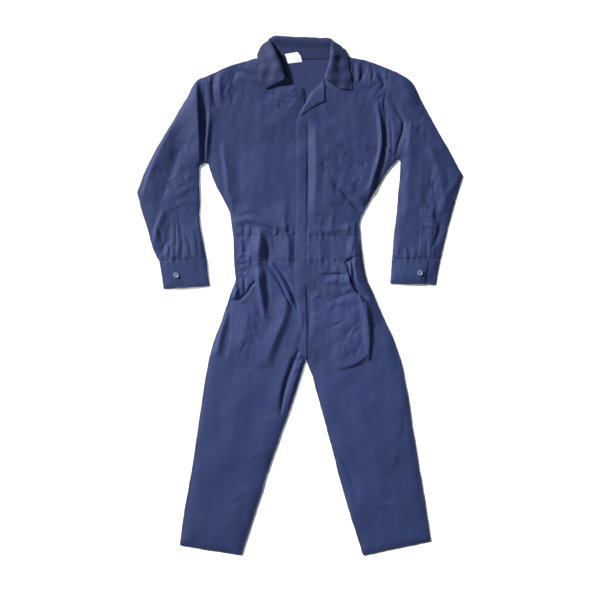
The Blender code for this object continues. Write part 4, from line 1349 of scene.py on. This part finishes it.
# The share of the way up a front at which its armhole starts.
TOP_SHARE = 0.43
body_runs = []
for plan, edge, height in ((FRONT_RIGHT_PLAN, "l", on_back), (FRONT_LEFT_PLAN, "r", on_lapped_front)):
    for distance in FELLED_ROWS:
        body_runs.append(on_cloth(beside(plan, edge, distance, TOP_SHARE, 0.93), height))
        body_runs.append(on_cloth(beside(plan, "t", distance, 0.04, 0.96), height))
    body_runs.append(on_cloth(beside(plan, "b", 2.0), height))
for plan, height in ((WAISTBAND_RIGHT_PLAN, on_back), (WAISTBAND_LEFT_PLAN, on_lapped_front)):
    for side in "bt":
        body_runs.append(on_cloth(beside(plan, side, 2.0), height))
for distance, side in ((2.0, "r"), (7.0, "r"), (2.0, "l")):
    body_runs.append(on_cloth(beside(FLY_PLAN, side, distance), on_right_front))
ride_as_thread("body_topstitching", stitch_mesh("body_topstitching", body_runs))

leg_runs = []
LEG_SIDES = ((TROUSER_RIGHT_PLAN, "l", "r", on_back), (TROUSER_LEFT_PLAN, "r", "l", on_lapped_front))
for plan, outer, inner, height in LEG_SIDES:
    for distance in FELLED_ROWS:
        leg_runs.append(on_cloth(beside(plan, outer, distance), height))
        leg_runs.append(on_cloth(beside(plan, inner, distance, 0.0, 0.62), height))
    leg_runs.append(on_cloth(beside(plan, "b", 20.0), height))
ride_as_thread("leg_topstitching", stitch_mesh("leg_topstitching", leg_runs))

# Two rows round each pocket, one along its hem, and one for the pencil slot of the chest pocket.
patch_runs = []
PATCHES = ((CHEST_PLAN, CHEST_PLACE), (HIP_RIGHT_PLAN, HIP_RIGHT_PLACE), (HIP_LEFT_PLAN, HIP_LEFT_PLACE))
rows = [(side, distance, 0.01, 0.985) for side in "lrb" for distance in (2.0, 7.0)] + [("t", 9.0, 0.02, 0.98)]
for plan, place in PATCHES:
    for side, distance, start, end in rows + ([("l", 12.0, 0.016, 0.98)] if plan is CHEST_PLAN else []):
        patch_runs.append(place(*inside_edge(plan, side, distance, start, end))[0] + ON_TOP)
# The bar tack across the fly, and the rows round the placket facings.
for x in np.linspace(10.5, 36.0, 22):
    tack = np.array([(x, 107.0), (x + 0.6, 112.0)])
    under = on_right_front if x < 21.6 else on_lapped_front
    patch_runs.append(np.column_stack([tack, under(tack[:, 0], tack[:, 1]) + CLOTH + 0.3]).repeat(2, axis=0))
for foot, top, _, _ in PLACKETS.values():
    place = placket_place(foot, top)
    steps = np.linspace(0.02, 0.98, 120)
    for across, along in ((0.10, steps), (0.90, steps), (steps, 0.985), (steps, 0.80), (steps, 0.015)):
        patch_runs.append(place(np.broadcast_to(across, 120), np.broadcast_to(along, 120))[0] + ON_TOP)
ride_as_thread("patch_topstitching", stitch_mesh("patch_topstitching", patch_runs))

# The cuffs, the collar and the lapel.
edge_runs = []
for rows in (CUFF_RIGHT, CUFF_LEFT):
    place, last = cuff_place(rows, CUFF_STATIONS), len(CUFF_STATIONS) - 1
    flap = np.arange(0, 39) / last
    for distance in (3.0, 76.0):
        edge_runs.append(place(flap, np.full(39, distance / CUFF_DEPTH))[0] + ON_TOP)
    edge_runs.append(place(np.full(60, 1 / last), np.linspace(0.04, 0.96, 60))[0] + ON_TOP)
ON_COLLAR = (0.0, 0.0, COLLAR_CLOTH / 2 + 0.15)


def down_collar(rows, distance, from_edge):
    """Places this far from the collar's outer edge, or from its neck, on each of these rows."""
    spots = []
    for row in rows:
        reach = FROM_NECK[row, -1] - distance if from_edge else distance
        spots.append([np.interp(reach, FROM_NECK[row], LATTICE[row, :, axis]) for axis in range(3)])
    return wobbled(np.array(spots)) + ON_COLLAR


for rows in (range(3, 40), range(COLLAR_ALONG - 39, COLLAR_ALONG - 2)):
    edge_runs.append(down_collar(rows, 5.0, True))
for row in (3, COLLAR_ALONG - 3):
    edge_runs.append(wobbled(LATTICE[row, COLLAR_ACROSS // 2 + 6 : -3]) + ON_COLLAR)
for distance in (3.0, 27.0):
    edge_runs.append(down_collar(range(56, COLLAR_ALONG - 55), distance, False))
steps = np.linspace(0.3, 0.98, 90)
_, width, _ = LAPEL_PLAN(np.full(90, 0.5), steps)
spots = wobble(LAPEL_PLAN(1 - 5.0 / np.maximum(width, 10.0), steps)[0])
edge_runs.append(on_cloth(spots, lambda x, y: LAPEL_RISE + surface(x, y)))
ride_as_thread("edge_topstitching", stitch_mesh("edge_topstitching", edge_runs))

# ----------------------------------------
# The floor, the lights and the camera: a plain white floor, one large soft light from the upper left, a
# pale sky and a camera straight above.

scene = bpy.context.scene
scene.view_settings.view_transform = "Standard"

bm = bmesh.new()
bmesh.ops.create_grid(bm, x_segments=1, y_segments=1, size=8.0)
floor = shown("floor", finished(bm, "floor"))
floor.location.z = -0.0008
paper, add = new_material("white paper")
shade(add, Base_Color=(0.93, 0.93, 0.94, 1.0), Roughness=0.9)
floor.data.materials.append(paper)


def area_light(name, place, target, size, power, colour):
    """A round lamp that points at its target."""
    data = bpy.data.lights.new(name, "AREA")
    data.shape, data.size, data.energy, data.color = "DISK", size, power, colour
    lamp = shown(name, data)
    lamp.location = place
    way = np.array(target, float) - np.array(place, float)
    tilt, turn = math.acos(-way[2] / np.linalg.norm(way)), math.atan2(way[1], way[0]) - math.pi / 2
    lamp.rotation_euler = (tilt, 0.0, turn)


sun = bpy.data.lights.new("key", "SUN")
sun.energy, sun.angle, sun.color = 8.5, math.radians(9), (1.0, 0.985, 0.96)
key = shown("key", sun)
key.rotation_euler = (math.radians(63), 0.0, math.radians(-124))
area_light("fill", (1.6, -1.0, 3.6), (0.0, 0.0, 0.0), 3.0, 2.0, (0.94, 0.97, 1.0))
area_light("low lamp", (-0.16, 0.02, 0.72), (0.06, -0.03, 0.0), 0.4, 2.5, (0.94, 0.97, 1.0))
sky = bpy.data.worlds.new("sky")
sky.use_nodes = True
background = sky.node_tree.nodes["Background"].inputs
background["Color"].default_value = (0.93, 0.96, 1.0, 1.0)
background["Strength"].default_value = 0.10
scene.world = sky

lens = bpy.data.cameras.new("camera")
lens.lens, lens.sensor_width = 85.0, 36.0
camera = shown("camera", lens)
camera.location = (0.0015, -0.0135, 4.26)
scene.camera = camera
